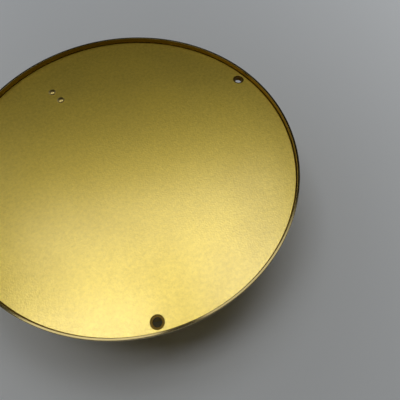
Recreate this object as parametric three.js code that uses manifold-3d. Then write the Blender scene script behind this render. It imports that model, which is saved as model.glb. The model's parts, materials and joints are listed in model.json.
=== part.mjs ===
// Round brass aneroid barometer, lying on its bezel: the dial faces down (-Z) and the back plate up.
// Lengths are millimetres and angles degrees. The dial's axis is Z, 12 o'clock points to -Y and
// 3 o'clock to +X, so a hand that turns clockwise on the dial turns by the right-hand rule about +Z.
// "Front" is the dial side, at low Z, and "back" the wall side, at high Z.
import * as THREE from "three";
import { mergeVertices } from "three/addons/utils/BufferGeometryUtils.js";
import Module from "manifold-3d";

// Facets round the large rings, the middle-sized turned pieces and the small ones
const ringSteps = 56;
const turnedSteps = 20;
const smallSteps = 12;

// Clearances
const seatGap = 0.05; // between two flat faces that rest on each other
const fitGap = 0.05; // radial, between a turned piece and the hole that carries it
const shankGap = 0.1; // radial, between a screw and the hole that it passes through
const workGap = 0.3; // between pieces that move on each other

// Dial, and the rings that hold it
const dialRadius = 54;
const dialThickness = 0.8;
const dialWindow = 16; // radius of the opening that shows the movement
const dialPlay = 1.9; // radial room between the dial and the drum
const dialSeatWidth = 4.3;
const dialSeatHeight = 3;
const rehautHeight = 5;
const rehautWidth = 4.5; // at the dial
const rehautTopWidth = 2; // at the glass
const rehautPlay = 0.5; // radial room inside the bezel

// Glass and its gasket
const glassThickness = 2;
const glassRecess = 6; // from the bezel's front face to the glass
const glassPlay = 0.3; // radial room inside the bezel
const gasketThickness = 0.6;
const gasketWidth = 3.2;

// Case: a drum with a wide flange, whose turned-up rim stands proud of the back plate
const drumWall = 1.1;
const flangeWidth = 13; // from the drum's outside to the rim's outside
const flangeThickness = 1.9;
const flangeCove = 1.8; // cove between the drum and the flange
const rimWall = 0.85;
const rimRoll = 2.6; // radius of the rolled corner between the flange and the rim
const rimEase = 0.2; // eased edges of the rim
const plateThickness = 0.35;
const plateRecess = 2.3; // from the rim's back edge down to the plate
const plateGap = 0.28; // the dark line between the plate and the rim

// Wall fixing: a screw goes through the plate's larger hole and the flange's smaller one
const mountInset = 4.4; // from the rim's outside to the holes' circle
const mountAngles = [-90, 30, 150];
const plateHoleRadius = 2.5;
const flangeHoleRadius = 1.65;

// Bezel
const bezelWall = 2.35;
const bezelSkirt = 5.7; // how far it reaches over the drum
const bezelLip = 4.2; // radial width of the lip in front of the glass
const bezelLipThickness = 1.15; // at its inner edge
const bezelFrontWidth = 2.6; // flat ring that it lies on
const bezelBevel = 1; // slope from the front ring to the lip
const bezelShoulder = 1.3; // from the glass's back to the drum's front end
const bezelCrown = 6.5; // height of the round outside
const bezelEase = 0.4;

// Retaining clip under the back plate, held by two domed rivets
const clipAngle = 122.5;
const clipWidth = 7;
const clipThickness = 0.5;
const clipFoot = 1.6; // flat end that bears on the movement
const rivetInset = 3.6; // from the drum's wall to the outer rivet
const rivetSpacing = 6.5;
const rivetRadius = 0.8;
const rivetHeadRadius = 1.6;
const rivetHeadHeight = 0.75;
const rivetTailRadius = 1.4;
const rivetTailHeight = 0.6;
const clipEnd = 2; // from the outer rivet to the clip's end

// Set hand, turned by a knob in front of the glass
const knobRadius = 4.6;
const knobHeight = 4.6;
const knobGrooves = 20;
const knobGrooveDepth = 0.35;
const spindleRadius = 1.5;
const washerThickness = 0.6;
const washerRadius = 4;
const setHandThickness = 0.5;
const setHandReach = 40;
const setHandTail = 9;
const setHandEye = 4; // radius
const setHandTip = 0.9;
const setHandRoot = 2; // width beside the eye
const spindleEnd = 0.4; // how far the spindle stands behind the set hand

// Indicator hand and its arbor
const handReach = 45;
const handTail = 14;
const handEye = 3.6; // radius
const handTip = 0.8;
const handRoot = 2.2; // width beside the eye
const handThickness = 0.5;
const bossRadius = 2.6;
const bossThickness = 1.5;
const bossStep = 0.7; // front part of the boss, in front of the hand
const bossWall = 0.8; // round the arbor's tip, inside the hand
const handDialGap = 1.3; // from the dial's face to the back of the boss
const tipRadius = 0.8;
const tipEnd = 0.3; // how far the arbor's tip stands in front of the boss
const tipStep = 0.2; // from the boss to the arbor's shoulder
const arborRadius = 1;
const pivotRadius = 0.5;
const rollerRadius = 1;
const rollerHeight = 1.2;
const rollerFlange = 2.3;
const rollerFlangeThickness = 0.3;

// Arbor frame: a bridge across the movement, with a cock on two posts in front of it
const cockGap = 1.4; // from the dial's back to the cock
const cockThickness = 1.05;
const cockWidth = 7;
const cockPostCircle = 11.5;
const cockPostRadius = 1.8;
const cockOverhang = 3.2;
const cockHeight = 4.5; // length of the cock's posts
const bridgeThickness = 1.2;
const bridgeWidth = 9;
const bridgePostRadius = 2.2;
const bridgeOverhang = 3.2;
const bridgePostClear = 1.8; // from the capsule's edge to the bridge's posts

// Hairspring that keeps the chain taut
const hairTurns = 4;
const hairSteps = 15; // in one turn
const hairInner = 1.95;
const hairOuter = 7;
const hairThickness = 0.25;
const hairWidth = 0.8;
const hairGap = 0.7; // from the cock's back to the spring
const colletMargin = 0.1; // how far the collet stands past the spring at each end
const studRadius = 0.7;

// Aneroid capsule, its post and its nut
const capsuleRadius = 22;
const capsuleThickness = 5.4;
const capsuleRim = 0.8; // half the height of the folded edge
const capsuleFold = 0.8; // radial width of the folded edge
const capsuleWall = 0.4;
const exhaustRadius = 0.8; // bore in the stud, through which the capsule is emptied
const capsuleWaves = 3;
const waveHeight = 0.7;
const capsuleBossRadius = 3.2;
const capsuleBossHeight = 0.7;
const studThread = 2;
const studEnd = 0.2; // how far the stud stands out of the nut
const nutAcrossFlats = 7;
const nutHeight = 2;
const postRadius = 2.4;
const postNeck = 1.3;
const postHeadRadius = 2.8;
const postHeadHeight = 0.9;
const postFootRadius = 3;
const postFootHeight = 0.7;
const postLength = 5.1; // from the back of the mainspring to the capsule's boss
const capsuleTravel = 0.45; // room for the post's stroke

// Mainspring, clamped to its bracket, and the main lever on its free end
const springThickness = 0.8;
const springWidth = 18;
const springTipWidth = 9;
const springTip = 9; // from the dial's axis to the free end
const springTaper = 5; // from the clamp's edge to where it begins to narrow
const springHole = 1.7;
const leverThickness = 0.8;
const leverGap = 1.05; // from the bridge's back to the lever
const leverWidth = 2.6;
const leverOverlap = 5.4; // how far it lies on the mainspring's free end
const leverEdge = 0.8; // from the mainspring's side to the lever's
const leverShoulder = 1.5; // from the mainspring's end to where the lever turns aside
const leverThroat = [1.6, 0.6]; // inner corner past the mainspring's end
const leverCorner = 0.5;
const leverRivetInset = 2.2;
const bracketThickness = 2;
const bracketClear = 1.5; // from the capsule to the bracket
const bracketFoot = 13;
const bracketScrewEdge = 5.5; // from the foot's edge to its screws
const bracketScrewInset = 3;
const bracketScrewLength = 3.1;
const clampLength = 5.8;
const clampThickness = 1;
const clampScrewInset = 4;
const clampGap = 0.15; // room for the spring's stroke
const lockRivetRadius = 0.6;
const lockRivetHead = 0.95;
const lockRivetHeight = 0.3;

// Calibration screw, reached through a hole in the dial
const calibrationInset = 2.5; // from the bracket's outer edge
const calibrationHead = 2.4;
const calibrationHeadHeight = 2.5;
const calibrationShank = 1.2;
const calibrationLift = 1.7; // from the screw's head to the bracket's foot
const dialAccess = 2.2; // radius of the hole in the dial

// Rocker: a cross shaft with a short crank and a long arm
const rockerClear = 5.5; // from the capsule's edge to the shaft
const rockerLift = 3.5; // from the base plate to the shaft
const rockerRadius = 1;
const rockerEnds = [-13.2, 6.7]; // along Y
const crankLength = 3;
const crankPlace = -9; // along Y
const crankWidth = 2;
const crankThickness = 1.2;
const armWidth = 2.4;
const armThickness = 1.4;
const armTip = 0.7; // how far the arm reaches past the chain
const linkRadius = 0.4;
const linkEye = 0.7;
const linkEyeHeight = 0.8;
const pivotPostWidth = 5;
const pivotPostThickness = 3;
const pivotPostTop = 2.2; // above the shaft's axis
const pivotScrewRadius = 0.8;
const pivotScrewHead = 1.5;
const pivotScrewHeadHeight = 1;

// Chain from the arm to the roller
const chainThickness = 0.5;
const chainHeight = 0.7;

// Base plate, and the pillars that carry it behind the dial
const pillarMargin = 12; // from the capsule's edge to the pillars' circle
const pillarAngles = [90, -50, -130];
const pillarRadius = 2.5;
const baseMargin = 4; // from the pillars' circle to the base plate's edge
const baseThickness = 1.6;
const backRoom = 4; // from the base plate to the back plate

// Small screws
const screwRadius = 1;
const screwHead = 2;
const screwHeadHeight = 0.9;
const screwLength = 6;
const shortScrewLength = 3.6;
const slotWidth = 0.5;
const slotDepth = 0.4;

// Levels along Z, stacked from the bezel's front face to the rim's back edge
const glassFront = glassRecess;
const glassBack = glassFront + glassThickness;
const rehautFront = glassBack + seatGap;
const dialFront = rehautFront + rehautHeight;
const dialBack = dialFront + dialThickness;
const cockFront = dialBack + cockGap;
const cockBack = cockFront + cockThickness;
const bridgeFront = cockBack + 2 * seatGap + cockHeight;
const bridgeBack = bridgeFront + bridgeThickness;
const leverFront = bridgeBack + leverGap;
const leverBack = leverFront + leverThickness;
const springFront = leverBack + seatGap;
const springBack = springFront + springThickness;
const capsuleBossFront = springBack + postLength;
const capsuleFront = capsuleBossFront + capsuleBossHeight;
const capsuleBack = capsuleFront + capsuleThickness;
const baseFront = capsuleBack + capsuleBossHeight + seatGap;
const baseBack = baseFront + baseThickness;
const plateFront = baseBack + backRoom;
const plateBack = plateFront + plateThickness;
const rimBack = plateBack + plateRecess;
const flangeBack = plateFront - seatGap;
const flangeFront = flangeBack - flangeThickness;

// Radii that follow from the dial
const drumInner = dialRadius + dialPlay;
const drumOuter = drumInner + drumWall;
const rimOuter = drumOuter + flangeWidth;
const rimInner = rimOuter - rimWall;
const plateRadius = rimInner - plateGap;
const mountCircle = rimOuter - mountInset;
const rehautOuter = dialRadius + rehautPlay;
const glassWall = rehautOuter + glassPlay; // the bezel's wall round the glass
const glassRadius = rehautOuter;
const bezelInner = glassWall - bezelLip; // the opening in front of the glass
const bezelBore = drumOuter + 3 * fitGap;
const bezelOuter = bezelBore + bezelWall;
const rivetCircles = [drumInner - rivetInset, drumInner - rivetInset - rivetSpacing];
const drumFront = glassBack + bezelShoulder + workGap;

// Places in the movement
const pillarCircle = capsuleRadius + pillarMargin;
const baseRadius = pillarCircle + baseMargin;
const bridgePostCircle = capsuleRadius + bridgePostClear + bridgePostRadius;
const bracketInner = -(capsuleRadius + bracketClear);
const bracketOuter = bracketInner - bracketFoot;
const clampEdge = bracketInner - bracketThickness + workGap; // where the spring begins to bend
const springRoot = clampEdge - clampLength;
const clampScrewX = springRoot + clampLength / 2;
const clampScrewY = springWidth / 2 - clampScrewInset;
const bracketScrewX = bracketOuter + bracketScrewEdge;
const bracketScrewY = springWidth / 2 - bracketScrewInset;
const calibrationX = bracketOuter + calibrationInset;
const rockerX = capsuleRadius + rockerClear;
const rockerZ = baseFront - rockerLift;
const linkX = rockerX - crankLength;
const rollerFront = bridgeFront - workGap - 2 * rollerFlangeThickness - rollerHeight;
const chainZ = rollerFront + rollerFlangeThickness + rollerHeight / 2;
const chainY = rollerRadius + fitGap + chainThickness / 2;
const leverRivetX = springTip - leverRivetInset;
const leverRivetY = springTipWidth / 4;
const setHandFront = glassBack + 2 * seatGap + washerThickness;
const bossBack = dialFront - handDialGap;
const bossFront = bossBack - bossThickness;

// Finishes
const satinBrass = { color: 0xc8a860, roughness: 0.42, metalness: 1 };
const polishedBrass = { color: 0xd4b060, roughness: 0.2, metalness: 1 };
const movementBrass = { color: 0xb8985a, roughness: 0.35, metalness: 1 };
const springSteel = { color: 0x6c7078, roughness: 0.35, metalness: 1 };
const blueSteel = { color: 0x1c2440, roughness: 0.3, metalness: 1 };
const nickel = { color: 0xb8b8b0, roughness: 0.3, metalness: 1 };
const dialPaint = { color: 0xf2eee0, roughness: 0.5, metalness: 0 };
const clearGlass = { color: 0xe8f0f0, roughness: 0.02, metalness: 0, transparent: true, opacity: 0.3 };
const blackRubber = { color: 0x181818, roughness: 0.8, metalness: 0 };

const wasm = await Module();
wasm.setup();
const barometer = new THREE.Group();

// Puts a finished geometry into the barometer as a named piece.
function addPiece(name, geometry, finish) {
  const mesh = new THREE.Mesh(geometry, new THREE.MeshStandardMaterial(finish));
  mesh.name = name;
  barometer.add(mesh);
}

// One closed skin: shared corners merged, and the empty triangles at a lathe's poles left out.
function closedSkin(geometry) {
  const bare = geometry.clone();
  bare.deleteAttribute("normal");
  bare.deleteAttribute("uv");
  const merged = mergeVertices(bare, 1e-4);
  const corners = [];
  for (let i = 0; i < merged.index.count; i += 3) {
    const [a, b, c] = [0, 1, 2].map((k) => merged.index.getX(i + k));
    if (a !== b && b !== c && c !== a) {
      corners.push(a, b, c);
    }
  }
  merged.setIndex(corners);
  return merged;
}

function solidOf(geometry) {
  const skin = closedSkin(geometry);
  return new wasm.Manifold(
    new wasm.Mesh({
      numProp: 3,
      vertProperties: skin.attributes.position.array,
      triVerts: Uint32Array.from(skin.index.array),
    }),
  );
}

function geometryOf(solid) {
  const mesh = solid.getMesh();
  const geometry = new THREE.BufferGeometry();
  geometry.setAttribute("position", new THREE.BufferAttribute(mesh.vertProperties, 3));
  geometry.setIndex(new THREE.BufferAttribute(mesh.triVerts, 1));
  geometry.computeVertexNormals();
  return geometry;
}

// The first geometry with the others cut out of it.
function cut(geometry, tools) {
  let solid = solidOf(geometry);
  for (const tool of tools) {
    solid = solid.subtract(solidOf(tool));
  }
  return geometryOf(solid);
}

function join(geometries) {
  let solid = solidOf(geometries[0]);
  for (const other of geometries.slice(1)) {
    solid = solid.add(solidOf(other));
  }
  return geometryOf(solid);
}

// Turned piece about the Z axis, from a profile of [radius, z] points that runs out along the front
// face, up the outside and back in along the back face.
function turned(profile, steps) {
  const points = profile.map(([radius, z]) => new THREE.Vector2(radius, z));
  const onAxis = profile[0][0] === 0;
  if (!onAxis) {
    points.push(points[0].clone());
  }
  return closedSkin(new THREE.LatheGeometry(points, steps).rotateX(Math.PI / 2));
}

// Flat ring or disc between two levels; an inner radius of 0 makes a disc.
function ring(inner, outer, front, back, steps) {
  return turned([[inner, front], [outer, front], [outer, back], [inner, back]], steps);
}

function rod(radius, front, back, steps = smallSteps) {
  return ring(0, radius, front, back, steps);
}

// Points on a circle, at the same places as the facets of a turned piece with as many steps.
function circle(radius, steps, x = 0, y = 0) {
  const points = [];
  for (let i = 0; i < steps; i += 1) {
    const angle = -Math.PI / 2 + (2 * Math.PI * i) / steps;
    points.push(new THREE.Vector2(x + radius * Math.cos(angle), y + radius * Math.sin(angle)));
  }
  return points;
}

// Flat piece between two levels, from an outline and round holes [radius, x, y].
function plate(outline, holes, front, back) {
  const shape = new THREE.Shape(outline);
  for (const [radius, x, y, steps = smallSteps] of holes) {
    shape.holes.push(new THREE.Path(circle(radius, steps, x, y)));
  }
  const options = { depth: back - front, bevelEnabled: false };
  return closedSkin(new THREE.ExtrudeGeometry(shape, options).translate(0, 0, front));
}

function outlineOf(pairs) {
  return pairs.map(([x, y]) => new THREE.Vector2(x, y));
}

// Bar with round ends along Y, centred on the dial's axis.
function roundedBar(halfLength, width) {
  const points = [];
  for (const [side, start] of [[1, 0], [-1, Math.PI]]) {
    for (let i = 0; i <= smallSteps / 2; i += 1) {
      const angle = start + (2 * Math.PI * i) / smallSteps;
      const y = side * (halfLength - width / 2) + (width / 2) * Math.sin(angle);
      points.push(new THREE.Vector2((width / 2) * Math.cos(angle), y));
    }
  }
  return points;
}

// Flat piece that stands on edge: a section in X and Z, as wide as given along Y.
function section(pairs, width, y = 0) {
  const options = { depth: width, bevelEnabled: false };
  const block = new THREE.ExtrudeGeometry(new THREE.Shape(outlineOf(pairs)), options);
  return closedSkin(block.rotateX(Math.PI / 2).translate(0, y + width / 2, 0));
}

function polar(radius, degrees) {
  const angle = THREE.MathUtils.degToRad(degrees);
  return [radius * Math.cos(angle), radius * Math.sin(angle)];
}

// Slotted screw along Z whose head lies on the level "seat"; facing is -1 when the head is towards
// the front and 1 when it is towards the back.
function screw(x, y, seat, facing, length, sizes = {}) {
  const { radius = screwRadius, head = screwHead, headHeight = screwHeadHeight, lift = 0 } = sizes;
  const profile = [
    [0, -length],
    [radius, -length],
    [radius, seatGap + lift],
    [head, seatGap + lift],
    [head, seatGap + lift + headHeight],
    [0, seatGap + lift + headHeight],
  ];
  const top = seatGap + lift + headHeight;
  const slot = new THREE.BoxGeometry(3 * head, slotWidth, 2 * slotDepth).translate(0, 0, top);
  const body = cut(turned(profile, smallSteps), [slot]);
  if (facing < 0) {
    body.rotateX(Math.PI);
  }
  return body.translate(x, y, seat);
}

// Case: one spun shell that is drum, flange and rim, with the three fixing holes.
function caseShell() {
  const cove = [];
  const roll = [];
  for (let i = 0; i <= 4; i += 1) {
    const angle = (Math.PI / 2) * (i / 4);
    const coveR = drumOuter + flangeCove - flangeCove * Math.cos(angle);
    cove.push([coveR, flangeFront - flangeCove + flangeCove * Math.sin(angle)]);
    const rollR = rimOuter - rimRoll + rimRoll * Math.sin(angle);
    roll.push([rollR, flangeFront + rimRoll - rimRoll * Math.cos(angle)]);
  }
  const shell = turned(
    [
      [drumInner, drumFront],
      [drumOuter, drumFront],
      ...cove,
      ...roll,
      [rimOuter, rimBack - rimEase],
      [rimOuter - rimEase, rimBack],
      [rimInner + rimEase, rimBack],
      [rimInner, rimBack - rimEase],
      [rimInner, flangeBack],
      [drumInner, flangeBack],
    ],
    ringSteps,
  );
  const drills = mountAngles.map((angle) => {
    const [x, y] = polar(mountCircle, angle);
    const [start, end] = [flangeFront - flangeThickness, flangeBack + flangeThickness];
    return rod(flangeHoleRadius, start, end, 2 * smallSteps).translate(x, y, 0);
  });
  return cut(shell, drills);
}

function backPlate() {
  const mounts = mountAngles.map((angle) => {
    return [plateHoleRadius, ...polar(mountCircle, angle), 2 * smallSteps];
  });
  const rivets = rivetCircles.map((radius) => {
    return [rivetRadius + fitGap, ...polar(radius, clipAngle)];
  });
  return plate(circle(plateRadius, ringSteps), [...mounts, ...rivets], plateFront, plateBack);
}

// Domed head outside the plate, shank through plate and clip, and a closed tail inside.
function clipRivet(distance) {
  const tailBack = plateFront - 2 * seatGap - clipThickness;
  const headFront = plateBack + seatGap;
  const dome = [];
  for (let i = 0; i <= 3; i += 1) {
    const angle = (Math.PI / 2) * (i / 3);
    dome.push([rivetHeadRadius * Math.cos(angle), headFront + rivetHeadHeight * Math.sin(angle)]);
  }
  dome[dome.length - 1][0] = 0;
  const profile = [
    [0, tailBack - rivetTailHeight],
    [rivetTailRadius, tailBack - rivetTailHeight],
    [rivetTailRadius, tailBack],
    [rivetRadius, tailBack],
    [rivetRadius, headFront],
    ...dome,
  ];
  const [x, y] = polar(distance, clipAngle);
  return turned(profile, smallSteps).translate(x, y, 0);
}

// Flat under the plate, then sloping down to bear on the back of the movement.
function retainingClip() {
  const top = plateFront - seatGap;
  const foot = baseBack + workGap;
  const outer = rivetCircles[0] + clipEnd;
  const bend = rivetCircles[1] - rivetTailRadius - clipEnd;
  const inner = baseRadius - 2 * baseMargin;
  const strip = section(
    [
      [inner, foot],
      [inner + clipFoot, foot],
      [bend, top - clipThickness],
      [outer, top - clipThickness],
      [outer, top],
      [bend - clipThickness / 2, top],
      [inner + clipFoot - clipThickness / 2, foot + clipThickness],
      [inner, foot + clipThickness],
    ],
    clipWidth,
  );
  const drills = rivetCircles.map((radius) => {
    const [start, end] = [top - 2 * clipThickness, top + clipThickness];
    return rod(rivetRadius + fitGap, start, end).translate(radius, 0, 0);
  });
  return cut(strip, drills).rotateZ(THREE.MathUtils.degToRad(clipAngle));
}

function bezel() {
  const frontInner = bezelInner + bezelBevel;
  const frontOuter = frontInner + bezelFrontWidth;
  const crown = [];
  for (let i = 1; i <= 5; i += 1) {
    const angle = (Math.PI / 2) * (i / 5);
    const radius = frontOuter + (bezelOuter - frontOuter) * Math.sin(angle);
    crown.push([radius, bezelCrown - bezelCrown * Math.cos(angle)]);
  }
  const lipBack = glassFront - gasketThickness - seatGap;
  const shoulder = drumFront - workGap;
  const skirtBack = shoulder + bezelSkirt;
  return turned(
    [
      [frontInner, 0],
      [frontOuter, 0],
      ...crown,
      [bezelOuter, skirtBack - bezelEase],
      [bezelOuter - bezelEase, skirtBack],
      [bezelBore, skirtBack],
      [bezelBore, shoulder],
      [glassWall, shoulder],
      [glassWall, lipBack],
      [bezelInner, lipBack],
      [bezelInner, lipBack - bezelLipThickness],
    ],
    ringSteps,
  );
}

function glassGasket() {
  const front = glassFront - gasketThickness;
  return ring(glassRadius - gasketWidth, glassRadius, front, glassFront - seatGap, ringSteps);
}

function glass() {
  const hole = [spindleRadius + 4 * fitGap, 0, 0, 2 * smallSteps];
  return plate(circle(glassRadius, ringSteps), [hole], glassFront, glassBack);
}

function rehaut() {
  const back = dialFront - seatGap;
  return turned(
    [
      [rehautOuter - rehautTopWidth, rehautFront],
      [rehautOuter, rehautFront],
      [rehautOuter, back],
      [rehautOuter - rehautWidth, back],
    ],
    ringSteps,
  );
}

function dial() {
  const screws = pillarAngles.map((angle) => {
    return [screwRadius + shankGap, ...polar(pillarCircle, angle)];
  });
  const holes = [[dialWindow, 0, 0, turnedSteps], [dialAccess, calibrationX, 0], ...screws];
  return plate(circle(dialRadius, ringSteps), holes, dialFront, dialBack);
}

function dialSeat() {
  const front = dialBack + seatGap;
  const outer = drumInner - fitGap;
  return ring(outer - dialSeatWidth, outer, front, front + dialSeatHeight, ringSteps);
}

// Grooved knob in front of the glass and the spindle that goes through it, turned from one bar.
function setKnob() {
  const back = glassFront - workGap;
  const outline = [];
  for (let i = 0; i < 2 * knobGrooves; i += 1) {
    const radius = knobRadius - (i % 2) * knobGrooveDepth;
    outline.push(new THREE.Vector2(...polar(radius, (180 * i) / knobGrooves)));
  }
  const grip = plate(outline, [], back - knobHeight, back);
  const spindleBack = setHandFront + setHandThickness + spindleEnd;
  return join([grip, rod(spindleRadius, back - knobHeight / 2, spindleBack)]);
}

function setWasher() {
  const front = glassBack + seatGap;
  return ring(spindleRadius + fitGap, washerRadius, front, front + washerThickness, smallSteps);
}

// Slim pointer with a round eye: towards 12 o'clock, with a short tail opposite.
function pointer({ reach, tail, eye, tip, root }, hole, front, back) {
  const start = (eye * 3) / 4;
  const outline = [[-root / 2, -start]];
  outline.push([-tip / 2, -reach + tip], [0, -reach], [tip / 2, -reach + tip]);
  outline.push([root / 2, -start]);
  for (let i = 1; i < smallSteps; i += 1) {
    const angle = -Math.PI / 2 + (2 * Math.PI * i) / smallSteps;
    if (i === smallSteps / 2) {
      outline.push([root / 2, start], [root, tail], [-root, tail], [-root / 2, start]);
    } else {
      outline.push([eye * Math.cos(angle), eye * Math.sin(angle)]);
    }
  }
  return plate(outlineOf(outline), [[hole, 0, 0]], front, back);
}

function setHand() {
  const back = setHandFront + setHandThickness;
  const sizes = {
    reach: setHandReach,
    tail: setHandTail,
    eye: setHandEye,
    tip: setHandTip,
    root: setHandRoot,
  };
  return pointer(sizes, spindleRadius + fitGap, setHandFront, back);
}

function indicatorHand() {
  const front = bossFront + bossStep + seatGap;
  const hole = tipRadius + shankGap + bossWall;
  const sizes = { reach: handReach, tail: handTail, eye: handEye, tip: handTip, root: handRoot };
  return pointer(sizes, hole, front, front + handThickness);
}

// Collar on the arbor's tip that the hand is pressed on.
function handBoss() {
  const step = bossFront + bossStep;
  const neck = tipRadius + shankGap + bossWall - fitGap;
  const hole = tipRadius + fitGap;
  const profile = [
    [hole, bossFront],
    [bossRadius, bossFront],
    [bossRadius, step],
    [neck, step],
    [neck, bossBack],
    [hole, bossBack],
  ];
  return turned(profile, smallSteps);
}

function handArbor() {
  const collet = hairInner - workGap - fitGap;
  const colletFront = cockBack + hairGap - colletMargin;
  const colletBack = colletFront + hairWidth + 2 * colletMargin;
  const rollerBack = rollerFront + 2 * rollerFlangeThickness + rollerHeight;
  return turned(
    [
      [0, bossFront - tipEnd],
      [tipRadius, bossFront - tipEnd],
      [tipRadius, bossBack + tipStep],
      [arborRadius, bossBack + tipStep],
      [arborRadius, colletFront],
      [collet, colletFront],
      [collet, colletBack],
      [arborRadius, colletBack],
      [arborRadius, rollerFront],
      [rollerFlange, rollerFront],
      [rollerFlange, rollerFront + rollerFlangeThickness],
      [rollerRadius, rollerFront + rollerFlangeThickness],
      [rollerRadius, rollerBack - rollerFlangeThickness],
      [rollerFlange, rollerBack - rollerFlangeThickness],
      [rollerFlange, rollerBack],
      [pivotRadius, rollerBack],
      [pivotRadius, bridgeBack],
      [0, bridgeBack],
    ],
    smallSteps,
  );
}

function arborCock() {
  const holes = [[arborRadius + fitGap, 0, 0]];
  for (const side of [-1, 1]) {
    holes.push([screwRadius + shankGap, 0, side * cockPostCircle]);
  }
  return plate(roundedBar(cockPostCircle + cockOverhang, cockWidth), holes, cockFront, cockBack);
}

function arborBridge() {
  const holes = [[pivotRadius + fitGap, 0, 0]];
  for (const side of [-1, 1]) {
    holes.push([screwRadius + shankGap, 0, side * bridgePostCircle]);
  }
  const outline = roundedBar(bridgePostCircle + bridgeOverhang, bridgeWidth);
  return plate(outline, holes, bridgeFront, bridgeBack);
}

// Post with a bore along Z for the screws that hold what it carries.
function post(radius, x, y, front, back) {
  return ring(screwRadius + fitGap, radius, front, back, smallSteps).translate(x, y, 0);
}

// Flat spiral with a rectangular section, from the arbor's collet out to the stud.
function hairspring() {
  const front = cockBack + hairGap;
  const count = hairTurns * hairSteps;
  const places = [];
  for (let i = 0; i <= count; i += 1) {
    const angle = Math.PI / 2 + (2 * Math.PI * (i - count)) / hairSteps;
    const radius = hairInner + (hairOuter - hairInner) * (i / count);
    for (const [side, z] of [[-1, 0], [1, 0], [1, hairWidth], [-1, hairWidth]]) {
      const r = radius + (side * hairThickness) / 2;
      places.push(r * Math.cos(angle), r * Math.sin(angle), front + z);
    }
  }
  const corners = [0, 1, 2, 0, 2, 3];
  for (let i = 0; i < count; i += 1) {
    for (let k = 0; k < 4; k += 1) {
      const [a, b] = [4 * i + k, 4 * i + ((k + 1) % 4)];
      corners.push(a, b + 4, b, a, a + 4, b + 4);
    }
  }
  corners.push(...[2, 1, 0, 3, 2, 0].map((k) => 4 * count + k));
  const geometry = new THREE.BufferGeometry();
  geometry.setAttribute("position", new THREE.Float32BufferAttribute(places, 3));
  geometry.setIndex(corners);
  geometry.computeVertexNormals();
  return geometry;
}

function hairspringStud() {
  const y = hairOuter + hairThickness / 2 + fitGap + studRadius;
  return rod(studRadius, cockBack + seatGap, cockBack + hairGap + hairWidth).translate(0, y, 0);
}

// Corrugated box of thin metal: waves on both faces, a folded edge, a boss in front and a stud behind.
// It is hollow, and the stud's bore opens its inside.
function capsule() {
  const waveStart = capsuleBossRadius + capsuleFold;
  const waveEnd = capsuleRadius - 2 * capsuleFold;
  const middle = (capsuleFront + capsuleBack) / 2;
  const front = [];
  const back = [];
  for (let i = 0; i <= 2 * capsuleWaves; i += 1) {
    const radius = waveStart + (waveEnd - waveStart) * (i / (2 * capsuleWaves));
    const depth = (i % 2) * waveHeight;
    front.push([radius, capsuleFront + depth]);
    back.unshift([radius, capsuleBack - depth]);
  }
  const innerFront = front.map(([radius, z]) => [radius, z + capsuleWall]).reverse();
  const innerBack = back.map(([radius, z]) => [radius, z - capsuleWall]).reverse();
  const boss = capsuleBack + capsuleBossHeight;
  const studBack = baseBack + seatGap + nutHeight + studEnd;
  return turned(
    [
      [0, capsuleBossFront],
      [capsuleBossRadius, capsuleBossFront],
      [capsuleBossRadius, capsuleFront],
      ...front,
      [capsuleRadius - capsuleFold, middle - capsuleRim],
      [capsuleRadius, middle - capsuleRim],
      [capsuleRadius, middle + capsuleRim],
      [capsuleRadius - capsuleFold, middle + capsuleRim],
      ...back,
      [capsuleBossRadius, capsuleBack],
      [capsuleBossRadius, boss],
      [studThread, boss],
      [studThread, studBack],
      [exhaustRadius, studBack],
      [exhaustRadius, capsuleBack - capsuleWall],
      ...innerBack,
      [capsuleRadius - 2 * capsuleFold, middle],
      ...innerFront,
      [0, capsuleFront + capsuleWall],
    ],
    turnedSteps,
  );
}

function capsuleNut() {
  const front = baseBack + seatGap;
  const outline = circle(nutAcrossFlats / Math.sqrt(3), 6);
  const hole = [studThread + fitGap, 0, 0, turnedSteps];
  return plate(outline, [hole], front, front + nutHeight);
}

// Head in front of the mainspring, neck through it and a foot on the capsule's boss.
function capsulePost() {
  const headBack = springFront - workGap;
  const foot = capsuleBossFront - capsuleTravel;
  return turned(
    [
      [0, headBack - postHeadHeight],
      [postHeadRadius, headBack - postHeadHeight],
      [postHeadRadius, headBack],
      [postNeck, headBack],
      [postNeck, springBack + workGap],
      [postRadius, springBack + workGap],
      [postRadius, foot - postFootHeight],
      [postFootRadius, foot - postFootHeight],
      [postFootRadius, foot],
      [0, foot],
    ],
    smallSteps,
  );
}

// Leaf that carries the pull of the capsule: wide at the clamp and narrow at its free end.
function mainspring() {
  const wide = springWidth / 2;
  const narrow = springTipWidth / 2;
  const taperStart = clampEdge + springTaper;
  const taperEnd = -narrow;
  const outline = outlineOf([
    [springRoot, -wide],
    [taperStart, -wide],
    [taperEnd, -narrow],
    [springTip, -narrow],
    [springTip, narrow],
    [taperEnd, narrow],
    [taperStart, wide],
    [springRoot, wide],
  ]);
  const holes = [[springHole, 0, 0]];
  for (const side of [-1, 1]) {
    holes.push([screwRadius + workGap, clampScrewX, side * clampScrewY]);
    holes.push([lockRivetRadius + fitGap, leverRivetX, side * leverRivetY]);
  }
  return plate(outline, holes, springFront, springBack);
}

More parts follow.
